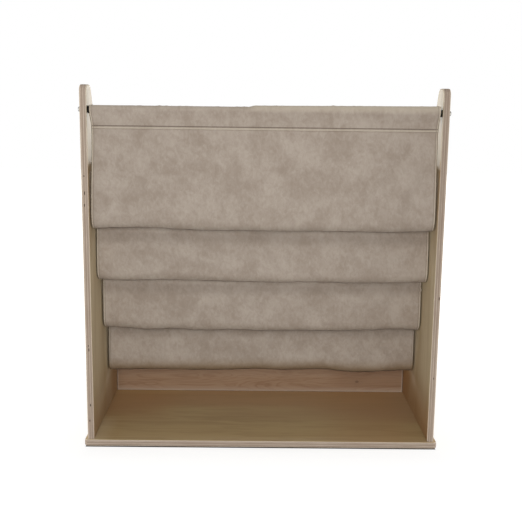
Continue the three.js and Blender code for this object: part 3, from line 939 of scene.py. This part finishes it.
def smooth(value, low, high):
    """0 below low, 1 above high, and smooth between; high may be the lower one."""
    share = np.clip((value - low) / (high - low), 0, 1)
    return share * share * (3 - 2 * share)


def at(point, across):
    """A [y, z] point of the cloth's path, which may depend on the place across."""
    return point(across) if callable(point) else point


def straight(start, end):
    """A straight stretch of the path from one point to another."""
    def place(share, across):
        start_y, start_z = at(start, across)
        end_y, end_z = at(end, across)
        step_y, step_z = end_y - start_y, end_z - start_z
        length = np.hypot(step_y, step_z)
        return (
            start_y + step_y * share, start_z + step_z * share,
            step_z / length, -step_y / length,
        )
    return place


def arc(centre, radius, from_angle, to_angle):
    """A round stretch of the path about a centre."""
    way = math.copysign(1, to_angle - from_angle)

    def place(share, across):
        centre_y, centre_z = at(centre, across)
        angle = from_angle + (to_angle - from_angle) * share
        cosine, sine = np.cos(angle), np.sin(angle)
        return centre_y + radius * cosine, centre_z + radius * sine, way * cosine, way * sine
    return place


class Pocket:
    """One sling as it hangs: gives the place of any point of its flat cloth. The point
    is told by its distance along the cloth from the tail and by its place across."""

    def __init__(self, number, cloth):
        self.number, self.cloth = number, cloth
        self.rear, self.front = middle(f"rod_{number}"), middle(f"rod_{number + 1}")
        self.width = extent(f"sling_{number}").x
        self.is_last = number == POCKETS[-1]
        self.plan()

    def over(self, rod, rise_y, fall_y):
        """Stretches from a seam up, over a rod and down to the seam on its other side."""
        cloth = self.cloth
        radius = extent("rod_1").z / 2 + cloth.rod_gap + cloth.thickness / 2
        seam_z = rod.z - cloth.seam_drop

        def touch(seam_y, way):
            """The angle at which cloth from a seam meets its round about the rod."""
            arm_y, arm_z = seam_y - rod.y, -cloth.seam_drop
            reach = math.hypot(arm_y, arm_z)
            return math.atan2(arm_z, arm_y) % (2 * math.pi) + way * math.acos(radius / reach)

        def point(angle):
            return rod.y + radius * math.cos(angle), rod.z + radius * math.sin(angle)

        rise, fall = touch(rise_y, -1), touch(fall_y, 1) - 2 * math.pi
        side = math.sqrt((seam_z - rod.z) ** 2 + (rise_y - rod.y) ** 2 - radius ** 2)
        return [
            (side, straight((rise_y, seam_z), point(rise))),
            (radius * (rise - fall), arc((rod.y, rod.z), radius, rise, fall)),
            (side, straight(point(fall), (fall_y, seam_z))),
        ]

    def plan(self):
        """Lays out the stretches of the path and where its seams come along it."""
        cloth, rear, front = self.cloth, self.rear, self.front
        seam_z, front_z = rear.z - cloth.seam_drop, front.z - cloth.seam_drop
        layer = cloth.thickness + LAYER_GAP
        tail_y = rear.y - (layer if self.number == 1 else 2 * layer + cloth.thickness)
        front_y = front.y - (0 if self.is_last else layer)
        bend = (cloth.pocket_width - cloth.thickness) / 2
        foot_z = rear.z - cloth.pocket_drop + cloth.pocket_width / 2

        def foot(across, aside=0.0):
            """The middle of the foot's bend, or a point level with it and aside from it."""
            forward, drop = self.hang(across)
            return rear.y + bend + forward + aside, foot_z - drop

        stretches = [(cloth.tail, straight((tail_y, seam_z - cloth.tail), (tail_y, seam_z)))]
        stretches += self.over(rear, tail_y, rear.y)
        self.wall_start = sum(length for length, _ in stretches)
        stretches += [
            (seam_z - foot_z, straight((rear.y, seam_z), partial(foot, aside=-bend))),
            (math.pi * bend, arc(foot, bend, math.pi, 2 * math.pi)),
            (front_z - foot_z, straight(partial(foot, aside=bend), (front_y, front_z))),
        ]
        self.wall_end = sum(length for length, _ in stretches)
        self.foot = self.wall_start + seam_z - foot_z + math.pi * bend / 2
        self.sleeves = [(cloth.tail, self.wall_start)]
        end_y, end_length = front_y, cloth.bite
        if self.is_last:
            end_y, end_length = front.y + layer, -cloth.tail
            stretches += self.over(front, front_y, end_y)
            self.sleeves.append((self.wall_end, sum(length for length, _ in stretches)))
        end = straight((end_y, front_z), (end_y, front_z + end_length))
        self.stretches = stretches + [(abs(end_length), end)]
        self.length = sum(length for length, _ in self.stretches)

    def field(self, name, first, second=0.0, waves=11):
        """One of the random fields as this pocket has it."""
        wavelength, seed = FIELDS[name]
        return soft_field(first, second, wavelength, seed + self.number, waves)

    def hang(self, across):
        """How far the foot swings forward and drops at a place across the cloth."""
        share = across / self.width
        drops = np.array(FOOT_DROPS[self.number]) * MM
        stations = np.linspace(-0.5, 0.5, len(drops))
        blend = DROP_BLEND * (stations[1] - stations[0])
        bells = [np.exp(-((share - station) / blend) ** 2) for station in stations]
        total = sum(bells)
        drop = sum(bell / total * value for bell, value in zip(bells, drops))
        return self.field("swing", across, waves=5) * SWING * (1 - (2 * share) ** 4), drop

    def over_rod(self, along):
        """Distance from the nearer seam of a sleeve, below 0 outside the sleeves."""
        return np.max([np.minimum(along - start, end - along) for start, end in self.sleeves], 0)

    def folds(self, drop, across):
        """Height of the soft folds."""
        height = 0
        for x0, drop0, x1, drop1, half_width, depth in FOLDS[self.number]:
            run_x, run_drop = (x1 - x0) * MM, (drop1 - drop0) * MM
            length = math.hypot(run_x, run_drop)
            off_x, off_drop = across - x0 * MM, drop - drop0 * MM
            share = (off_x * run_x + off_drop * run_drop) / length ** 2
            aside = (off_x * run_drop - off_drop * run_x) / length
            ends = smooth(share, *FOLD_START) * smooth(share, *FOLD_END)
            height = height + depth * MM * ends * np.exp(-(aside / (half_width * MM)) ** 2)
        return height

    def relief(self, along, across):
        """Folds and small unevenness, as a height towards the cloth's outer side."""
        down, up = along - self.wall_start, self.wall_end - along
        height = smooth(down, 0, WALL_FADE[0]) * smooth(up, 0, WALL_FADE[1]) * sum(
            size * self.field(name, across, along * stretch)
            for name, size, stretch in UNEVENNESS)
        height = height + self.folds(down + self.cloth.seam_drop, across)
        sleeve = smooth(down, 0, -GATHER_FADE) * smooth(along, *TAIL_FADE)
        if self.is_last:
            to_end = self.length - along
            sleeve = sleeve + smooth(up, 0, -GATHER_FADE) * smooth(to_end, *TAIL_FADE)
        if self.number == LOFT["pocket"]:
            start, blend, first = (LOFT[key] for key in ("from", "blend", "first"))
            loft = first + (LOFT["end"] - first) * np.clip(2 * across / self.width, 0, 1)
            lifted = smooth(across, start - blend, start + blend)
            height = height - loft * lifted * smooth(self.over_rod(along), *LOFT["sleeve"])
        height = height - GATHER_DEPTH * self.field("gather", across) ** 2 * sleeve
        puckers = np.exp(-(down / PUCKER_REACH) ** 2) * (down > 0)
        return height + puckers * PUCKER_HEIGHT * self.field("pucker", across)

    def side_shift(self, along, across):
        """How far a place moves along X, because the hems pull in or flare."""
        down = (along - self.wall_start) / (self.foot - self.wall_start)
        up = (self.wall_end - along) / (self.wall_end - self.foot)
        lower = smooth(np.minimum(down, up), *FLARE)
        sleeve = smooth(self.over_rod(along), 0, self.cloth.seam_drop)
        side = np.where(across < 0, 0, 1)
        at_seam = np.array(EDGE_AT_SEAM[self.number])[side] * MM
        at_foot = np.array(EDGE_AT_FOOT[self.number])[side] * MM
        pull = at_seam * (1 - lower) * (1 - sleeve) + at_foot * lower - SLEEVE_PULL * sleeve
        shift = np.sign(across) * pull * np.abs(2 * across / self.width) ** 3
        if self.number == CRUMPLE["pocket"]:
            drop = along - self.wall_start + self.cloth.seam_drop - CRUMPLE["drop"]
            drop = drop / CRUMPLE["reach"]
            lean = CRUMPLE["lean"]
            wave = (np.sin(drop * CRUMPLE["waves"]) + lean) / (1 + lean)
            local = np.exp(-drop ** 2) * smooth(across / self.width, *CRUMPLE["across"])
            shift = shift + CRUMPLE["height"] * local * wave
        return shift

    def surface(self, along, across):
        """Middle of the cloth's one layer, for arrays of places on the cloth."""
        along, across = np.broadcast_arrays(along, across)
        result = np.zeros((4, *along.shape))
        start = 0.0
        for number, (length, stretch) in enumerate(self.stretches):
            is_end = number == len(self.stretches) - 1
            inside = (along >= start) & ((along < start + length) | is_end)
            values = stretch((along[inside] - start) / length, across[inside])
            for row, value in zip(result, values):
                row[inside] = value
            start += length
        y, z, normal_y, normal_z = result
        height = self.relief(along, across)
        x = across + self.side_shift(along, across)
        return np.stack([x, y + normal_y * height, z + normal_z * height], -1)

    def normal(self, along, across):
        """Outer normal: towards the outside of the pocket, and off the rod in a sleeve."""
        step = 0.2 * MM
        down = self.surface(along + step, across) - self.surface(along - step, across)
        aside = self.surface(along, across + step) - self.surface(along, across - step)
        normal = np.cross(down, aside)
        return normal / np.linalg.norm(normal, axis=-1, keepdims=True)

    def offsets(self, along, across):
        """Distances of the inner and the outer face from the middle of one layer."""
        cloth = self.cloth
        layer = cloth.thickness
        edge = self.width / 2 - np.abs(across)
        to_end = self.length - along
        doubled = smooth(edge, cloth.hem + HEM_BLEND, cloth.hem - HEM_BLEND)
        for distance in (along, to_end) if self.is_last else (along,):
            tail = smooth(cloth.tail - distance, *TAIL_BLEND)
            doubled = np.maximum(doubled, tail)
        inner, outer = layer / 2 + layer * doubled, layer / 2
        for seam, distance in self.seams():
            gap = edge - distance if seam == "hem" else along - distance
            dip = SEAM_DIP * np.exp(-(gap / SEAM_DIP_REACH) ** 2)
            inner, outer = inner - dip, outer - dip * (seam == "hem")
        half, centre = (inner + outer) / 2, (inner - outer) / 2
        for distance in (edge, along, to_end):
            share = np.clip(distance / np.maximum(half, layer / 2), 0, 1)
            half = half * np.sqrt(1 - (1 - share) ** 2)
        return centre + half, half - centre

    def seams(self):
        """Each stitched line: its kind, and its place along the cloth or from the edge."""
        rod_seams = [("rod", place) for sleeve in self.sleeves for place in sleeve]
        return [("hem", self.cloth.hem_seam), *rod_seams]

    def face_point(self, along, across, is_inner):
        inner, outer = self.offsets(along, across)
        distance = -inner if is_inner else outer
        return self.surface(along, across) + self.normal(along, across) * distance[..., None]


def spaced(length, step, marks):
    """Places from 0 to length, a step apart and closer together round each mark."""
    places = set(np.linspace(0, length, round(length / step) + 1).round(6))
    for mark in marks:
        places = {place for place in places if abs(place - mark) > LINE_CLEARANCE}
        places |= {round(mark + offset * MM, 6) for offset in LINE_STEPS}
    for offset in EDGE_STEPS:
        places |= {round(offset * MM, 6), round(length - offset * MM, 6)}
    ordered = sorted(place for place in places if 0 <= place <= length)
    kept = [ordered[0]]
    for place in ordered[1:]:
        if place - kept[-1] > LEAST_STEP or place == length:
            kept.append(place)
    return np.array(kept)


def cloth_mesh(name, pocket):
    """The sling as a closed mesh: its two faces meet in the rounded edges all round."""
    cloth = pocket.cloth
    hem_lines = [cloth.hem_seam, cloth.hem, pocket.width - cloth.hem, pocket.width - cloth.hem_seam]
    across = spaced(pocket.width, cloth.across_step, hem_lines) - pocket.width / 2
    rod_seams = [place for sleeve in pocket.sleeves for place in sleeve]
    along = spaced(pocket.length, cloth.down_step, rod_seams)
    for start, end in pocket.sleeves:
        fine = np.arange(start + SLEEVE_MARGIN, end - SLEEVE_MARGIN, SLEEVE_STEP)
        along = np.unique(np.concatenate([along, fine]).round(6))
    grid_along, grid_across = np.meshgrid(along, across, indexing="ij")
    outside, within = (pocket.face_point(grid_along, grid_across, side) for side in (False, True))
    rows, columns = grid_along.shape

    outer = np.arange(rows * columns).reshape(rows, columns)
    inner = outer.copy()
    off_edge = (slice(1, -1), slice(1, -1))
    inner[off_edge] = rows * columns + np.arange((rows - 2) * (columns - 2)).reshape(rows - 2, -1)
    points = np.concatenate([outside.reshape(-1, 3), within[off_edge].reshape(-1, 3)])

    def quads(index):
        corners = [index[:-1, :-1], index[1:, :-1], index[1:, 1:], index[:-1, 1:]]
        return np.stack(corners, -1).reshape(-1, 4)

    faces = np.concatenate([quads(outer), quads(inner)[:, ::-1]])
    mesh = new_mesh(name, points.tolist(), faces=faces.tolist())
    mesh.polygons.foreach_set("use_smooth", np.ones(len(faces), bool))

    flat = np.stack([grid_across, grid_along], -1)
    flat = np.concatenate([flat.reshape(-1, 2), flat[off_edge].reshape(-1, 2)])
    corners = np.zeros(len(mesh.loops), int)
    mesh.loops.foreach_get("vertex_index", corners)
    mesh.uv_layers.new(name="cloth").data.foreach_set("uv", flat[corners].ravel())
    return mesh


# Marks on the cloth, in metres, most of them painted shade and painted highlights. "x" is a
# place, "above" is the height over the lowest pocket's planned foot, "under_top" the drop below
# the top rod, "drop" that below the pocket's own rod, "edge" and "rim" are distances from the
# side edges, "tail" is that from the tail's seam on, and the others are distances on either side
# of a line.
# Painted shade over the right of each pocket, fine dark specks of the nap, painted highlights on
# the hems' folded edges and the tails, and painted shade on the hems' outer rims
EDGE_MARKS = (
    ("seam_shade", (0.1, {"x": (0.12, 0.34)})),
    ("nap_dark", (0.22, {"speck": (0.35, 0.7)})),
    ("fold_highlight", (0.7, {"edge": (4 * MM, 2 * MM)}), (0.35, {"tail": (-1.5 * MM, -3 * MM)})),
    ("rim_and_foot_shade", (0.85, {"rim": (1.7 * MM, 1 * MM)})),
)
# Painted shade in the stitch grooves and under the tail's edge, warm painted shade on the lowest
# foot, and painted shade on the walls just below the foot of the pocket above
SEAM_MARKS = (
    ("seam_shade", (0.42, {"hem_line": (1.1 * MM, 0.3 * MM)}),
     (0.7, {"tail_line": (1.7 * MM, 0.7 * MM)})),
    ("seam_shade", (0.3, {"tail_end": (1.3 * MM, 0.4 * MM)})),
    ("foot_shade", (0.7, {"foot": (58 * MM, 14 * MM), "above": (90 * MM, 70 * MM)})),
    ("rim_and_foot_shade", (0.2, {
        "drop": (143 * MM, 153 * MM, 158 * MM, 182 * MM), "under_top": (195 * MM, 235 * MM)})),
)
# The rim of painted shade is wider on the lowest pocket's hems
LOW_HEMS = {"above": (135 * MM, 115 * MM)}
LOW_RIM = 0.9 * MM
LOWEST_FOOT = {"above": (90 * MM, 70 * MM)}
# Where the painted highlight lies on the top sleeve, stronger where it stands off its rod
SLEEVE_TOP = {"tail": (31 * MM, 47 * MM, 48 * MM, 64 * MM)}
LOFTED = {"u": (-46 * MM, -16 * MM), "under_top": (34 * MM, 24 * MM)}
# The dark line of painted shade under each foot: where it starts past the foot and how much
# later for each metre of height, how much later on the lowest foot, its soft edge, and where it
# ends
LINE_START, LINE_SLOPE, LINE_LOWEST = 8.7 * MM, 0.012, 2 * MM
LINE_EDGE = 3 * MM
LINE_END = (-12 * MM, -4 * MM)


# Noise cells a metre: clouds; brush marks along X and Z; streaks along X, with their lean,
# and along Z; the nap; and the pile across and down the cloth
CLOUD_CELLS, NAP_CELLS = 17, 2600
BRUSH_CELLS, STREAK_CELLS, PILE_CELLS = (160, 100), (56, 14, 44), (900, 500)
CLOUD_SHARE, BRUSH_SHARE, STREAK_SHARE = 0.45, 0.3, 0.25


def suede(cloth):
    """Brushed suede cloth on the flat cloth's own coordinates, in metres, with painted shade and
    painted highlights at its hems, seams, sleeve and feet.
    """
    finish = Finish("suede cloth")
    flat = finish.node("ShaderNodeUVMap", {"uv_map": "cloth"})
    u, v, _ = finish.axes(flat)
    place = finish.object_place()
    x, _, z = finish.axes(place)
    clouds = finish.noise(place, CLOUD_CELLS, 3, roughness=0.55, distortion=0.4)
    brush = finish.vector(x * BRUSH_CELLS[0], 0, z * BRUSH_CELLS[1])
    brushed = finish.noise(brush, 1, 3, roughness=0.65, distortion=0.8)
    streak = finish.vector(x * STREAK_CELLS[0] + z * STREAK_CELLS[1], 0, z * STREAK_CELLS[2])
    streaks = finish.noise(streak, 1, 3, roughness=0.6, distortion=1.0)
    nap = finish.noise(finish.vector(u, v, 0), NAP_CELLS, 3, roughness=0.7)
    pile = finish.noise(finish.vector(u * PILE_CELLS[0], v * PILE_CELLS[1], 0))
    tone = clouds * CLOUD_SHARE + brushed * BRUSH_SHARE + streaks * STREAK_SHARE
    colour = finish.mix(tone.rise(0.34, 0.66), cloth.nap_dark, cloth.nap_light)
    colour = finish.mix(0.15, colour, cloth.suede)

    pocket = Pocket(2, cloth)
    edge = pocket.width / 2 - abs(u)
    to_foot = pocket.foot - v
    wires = {
        "u": u, "x": x, "speck": nap * 0.6 + pile * 0.4, "edge": edge, "tail": v - cloth.tail,
        "above": z - (middle("rod_4").z - cloth.pocket_drop),
        "under_top": middle("rod_1").z - z,
        "drop": v - (pocket.wall_start - cloth.seam_drop),
        "hem_line": abs(edge - cloth.hem_seam), "tail_line": abs(v - cloth.tail),
        "tail_end": abs(v - (pocket.wall_start + cloth.tail + 0.5 * MM)),
        "foot": abs(to_foot),
    }
    wires["rim"] = edge - zone(wires, LOW_HEMS) * LOW_RIM
    colour = finish.patched(colour, cloth, wires, EDGE_MARKS)
    # Painted highlight along the top of the top sleeve
    sleeve_highlight = zone(wires, SLEEVE_TOP) * (0.25 + 0.55 * zone(wires, LOFTED))
    colour = finish.mix(sleeve_highlight, colour, cloth.fold_highlight)
    colour = finish.patched(colour, cloth, wires, SEAM_MARKS)
    # Painted shade: a dark line under each foot, darker on the lowest
    lowest = zone(wires, LOWEST_FOOT)
    line_start = (wires["under_top"] - cloth.pocket_drop) * LINE_SLOPE + LINE_START
    line = (to_foot - line_start - lowest * LINE_LOWEST).rise(LINE_EDGE, 0)
    line = line * to_foot.rise(*LINE_END)
    colour = finish.mix(line * (0.75 + 0.2 * lowest), colour, cloth.under_foot_shade)
    relief = nap * 0.5 + pile * 0.35 + brushed * 0.6 + clouds
    return finish.surface(
        Base_Color=colour,
        Roughness=0.86 + 0.1 * tone,
        Normal=finish.bump(relief, 0.45, 0.35 * MM),
        Sheen_Weight=0.05,
        Sheen_Roughness=0.5,
        Specular_IOR_Level=0.2,
    )


def stitches_tree():
    """Geometry nodes that sew even stitches along every line of a mesh."""
    tree = Modifier("stitches along seams", {
        "Pitch": "Float", "Stitch": "Float", "Thread": "Float", "Finish": "Material",
    })
    line = tree.node("GeometryNodeMeshToCurve", inputs={"Mesh": tree.input("Geometry")})
    even = tree.node("GeometryNodeResampleCurve", {"mode": "LENGTH"}, {
        "Curve": line, "Length": tree.input("Pitch"),
    })
    tangent = tree.node("GeometryNodeInputTangent")
    aimed = tree.node("FunctionNodeAlignRotationToVector", {"axis": "Z"}, {"Vector": tangent})
    bead = tree.node("GeometryNodeMeshUVSphere", inputs={"Segments": 6, "Rings": 4, "Radius": 0.5})
    smooth_bead = tree.node("GeometryNodeSetShadeSmooth", inputs={"Geometry": bead})
    size = tree.node("ShaderNodeCombineXYZ", inputs={
        0: tree.input("Thread"), 1: tree.input("Thread"), 2: tree.input("Stitch"),
    })
    sewn = tree.node("GeometryNodeInstanceOnPoints", inputs={
        "Points": even, "Instance": smooth_bead, "Rotation": aimed, "Scale": size,
    })
    return tree.end(sewn, tree.input("Finish"))


def seam_lines(name, pocket):
    """A mesh of the lines that the stitches of one sling follow."""
    reach = pocket.width / 2 - STITCH_INSET
    across = np.linspace(-reach, reach, STITCH_POINTS["across"])
    along = np.linspace(STITCH_INSET, pocket.length - STITCH_INSET, STITCH_POINTS["along"])
    lines = []
    for kind, distance in pocket.seams():
        if kind == "rod":
            lines.append(pocket.face_point(np.full_like(across, distance), across, True))
            continue
        for side in (-1, 1):
            hem = np.full_like(along, side * (pocket.width / 2 - distance))
            lines += [pocket.face_point(along, hem, is_inner) for is_inner in (False, True)]
    points, edges = [], []
    for line in lines:
        start = len(points)
        points += line.tolist()
        edges += [(start + step, start + step + 1) for step in range(len(line) - 1)]
    return new_mesh(name, points, edges)


class BOOKSHELF_OT_slings(bpy.types.Operator):
    """Hang and sew the four cloth pockets"""
    bl_idname = "bookshelf.slings"
    bl_label = "Hang the slings"

    def execute(self, context):
        cloth = context.scene.shelf_cloth
        material = suede(cloth)
        thread = plain_finish("sewing thread", cloth.thread, 0.8, 3000, 0.1 * MM)
        tree = stitches_tree()
        for number in POCKETS:
            pocket = Pocket(number, cloth)
            piece = link(f"sling_cloth_{number}", cloth_mesh(f"sling_cloth_{number}", pocket))
            piece.data.materials.append(material)
            settle(piece, "suede_cloth", f"sling_{number}")
            name = f"sling_stitches_{number}"
            stitches = evaluated(name, seam_lines(name + "_lines", pocket), tree, {
                "Pitch": cloth.stitch_pitch, "Stitch": cloth.stitch_length,
                "Thread": cloth.thread_width, "Finish": thread,
            })
            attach(stitches, "root")
        return {"FINISHED"}


# Stage

# How far the floor's soft shadow reaches, the light that the floor reflects where nothing
# shades it, and the width over which the painted shadow in the gap under the base board darkens
SHADOW_REACH = 0.7
LIT_FLOOR = 0.57
GAP_EDGE = 3 * MM
FLOOR_GRAIN = 90
SENSOR_WIDTH = 36
LAMPS = (
    # Name, setting of its power, place, point it aims at, width and height, and the angle
    # in degrees that a grid on it lets through
    ("front", "front_power", (-0.1, -3.3, 1.2), (0, 0, 0.9), (1.0, 1.0), 120),
    ("back", "back_power", (0, 3.2, 0.8), (0, 0, 0.6), (1.4, 0.6), 70),
    ("top", "top_power", (0, -0.4, 2.8), (0, 0, 0.4), (1.6, 1.0), 90),
    ("left", "side_power", (-3.2, -0.03, 0.6), (0, 0, 0.4), (0.24, 0.4), 60),
    ("right", "side_power", (3.2, -0.03, 0.6), (0, 0, 0.4), (0.24, 0.4), 60),
)


def seen_rays(tree):
    """1 for rays from the camera and for reflections and glass, 0 for the light itself."""
    path = tree.node("ShaderNodeLightPath", output="Is Camera Ray")
    return path.larger(path.output("Is Glossy Ray")).larger(path.output("Is Transmission Ray"))


def lay_floor(stage):
    """A floor that looks white but keeps the object's shadow, with painted shadow in the gap under
    it.
    """
    half = stage.floor_size / 2
    corners = [(-half, -half, 0), (half, -half, 0), (half, half, 0), (-half, half, 0)]
    mesh = new_mesh("floor", corners, faces=[(0, 1, 2, 3)])
    floor = link("floor", mesh)
    finish = Finish("pale floor")
    place = finish.object_place()
    x, y, _ = finish.axes(place)
    apart = (abs(x) - cad_box[1][0]).larger(abs(y) - cad_box[1][1])
    # Under the base board's edge the floor shows its real shading, painted dark as the shadow in
    # the gap
    covered = apart.rise(0, -GAP_EDGE)
    shadow = (apart.rise(SHADOW_REACH, 0) * stage.shadow_share).larger(covered)
    grain = finish.noise(place, FLOOR_GRAIN) * 0.1
    grained = finish.mix(grain, stage.floor, tuple(channel * 0.9 for channel in stage.floor))
    lit = finish.node("ShaderNodeBsdfDiffuse", inputs={
        "Color": finish.mix(covered, grained, stage.gap_shadow),
    })
    strength = (1 - stage.shadow_share * LIT_FLOOR) / (1 - stage.shadow_share)
    white = finish.node("ShaderNodeEmission", inputs={"Strength": strength})
    shown = finish.node("ShaderNodeMixShader", inputs={
        0: seen_rays(finish) * (1 - shadow), 1: lit, 2: white,
    })
    finish.node("ShaderNodeOutputMaterial", inputs={"Surface": shown})
    mesh.materials.append(finish.material)


def light_room(scene, ambient):
    """Soft light from all round, in front of which the camera sees plain white."""
    world = bpy.data.worlds.new("studio")
    world.use_nodes = True
    world.node_tree.nodes.clear()
    scene.world = world
    tree = Tree(world.node_tree)
    room = tree.node("ShaderNodeBackground", inputs={"Strength": ambient})
    backdrop = tree.node("ShaderNodeBackground", inputs={"Color": (1, 1, 1, 1), "Strength": 1.0})
    shown = tree.node("ShaderNodeMixShader", inputs={0: seen_rays(tree), 1: room, 2: backdrop})
    tree.node("ShaderNodeOutputWorld", inputs={"Surface": shown})


def soft_lamp(name, power, place, aim, size, spread):
    lamp = bpy.data.lights.new(name, "AREA")
    lamp.shape = "RECTANGLE"
    lamp.size, lamp.size_y = size
    lamp.energy = power
    lamp.spread = math.radians(spread)
    item = link(name, lamp)
    item.location = place
    item.rotation_euler = (Vector(aim) - Vector(place)).to_track_quat("-Z", "Y").to_euler()


def set_camera(scene, stage):
    turn, tilt, roll = stage.turn
    ahead = Vector((
        math.sin(turn) * math.cos(tilt), math.cos(turn) * math.cos(tilt), -math.sin(tilt)))
    level = Vector((math.cos(turn), -math.sin(turn), 0))
    above = level.cross(ahead)
    right = math.cos(roll) * level + math.sin(roll) * above
    up = math.cos(roll) * above - math.sin(roll) * level
    lens = bpy.data.cameras.new("camera")
    lens.lens = stage.focal
    lens.sensor_width = SENSOR_WIDTH
    camera = link("camera", lens)
    axes = Matrix((right, up, -ahead)).transposed().to_4x4()
    camera.matrix_world = Matrix.Translation(stage.place) @ axes
    scene.camera = camera


class BOOKSHELF_OT_stage(bpy.types.Operator):
    """Set up the floor, the lamps, the room light and the camera"""
    bl_idname = "bookshelf.stage"
    bl_label = "Set the stage"

    def execute(self, context):
        scene = context.scene
        stage = scene.shelf_stage
        lay_floor(stage)
        light_room(scene, stage.ambient)
        for name, power, *rest in LAMPS:
            soft_lamp(f"{name} lamp", getattr(stage, power), *rest)
        set_camera(scene, stage)
        scene.view_settings.view_transform = "Standard"
        return {"FINISHED"}


OPERATORS = (
    BOOKSHELF_OT_stage,
    BOOKSHELF_OT_boards,
    BOOKSHELF_OT_rods,
    BOOKSHELF_OT_fasteners,
    BOOKSHELF_OT_slings,
)


class BOOKSHELF_PT_panel(bpy.types.Panel):
    """Lists the steps of the bookshelf and their settings"""
    bl_label = "Sling bookshelf"
    bl_idname = "BOOKSHELF_PT_panel"
    bl_space_type = "VIEW_3D"
    bl_region_type = "UI"
    bl_category = "Bookshelf"

    def draw(self, context):
        for operator in OPERATORS:
            self.layout.operator(operator.bl_idname)
        for name, group in SETTING_GROUPS.items():
            box = self.layout.box()
            box.label(text=group.bl_rna.description)
            settings = getattr(context.scene, name)
            for key in group.__annotations__:
                box.prop(settings, key)


def register():
    for group in SETTING_GROUPS.values():
        bpy.utils.register_class(group)
    for name, group in SETTING_GROUPS.items():
        setattr(bpy.types.Scene, name, PointerProperty(type=group))
    for operator in OPERATORS:
        bpy.utils.register_class(operator)
    bpy.utils.register_class(BOOKSHELF_PT_panel)


def unregister():
    bpy.utils.unregister_class(BOOKSHELF_PT_panel)
    for operator in reversed(OPERATORS):
        bpy.utils.unregister_class(operator)
    for name, group in SETTING_GROUPS.items():
        delattr(bpy.types.Scene, name)
        bpy.utils.unregister_class(group)


def main():
    register()
    bpy.ops.bookshelf.stage()
    bpy.ops.bookshelf.boards()
    bpy.ops.bookshelf.rods()
    bpy.ops.bookshelf.fasteners()
    bpy.ops.bookshelf.slings()


if __name__ == "__main__":
    main()
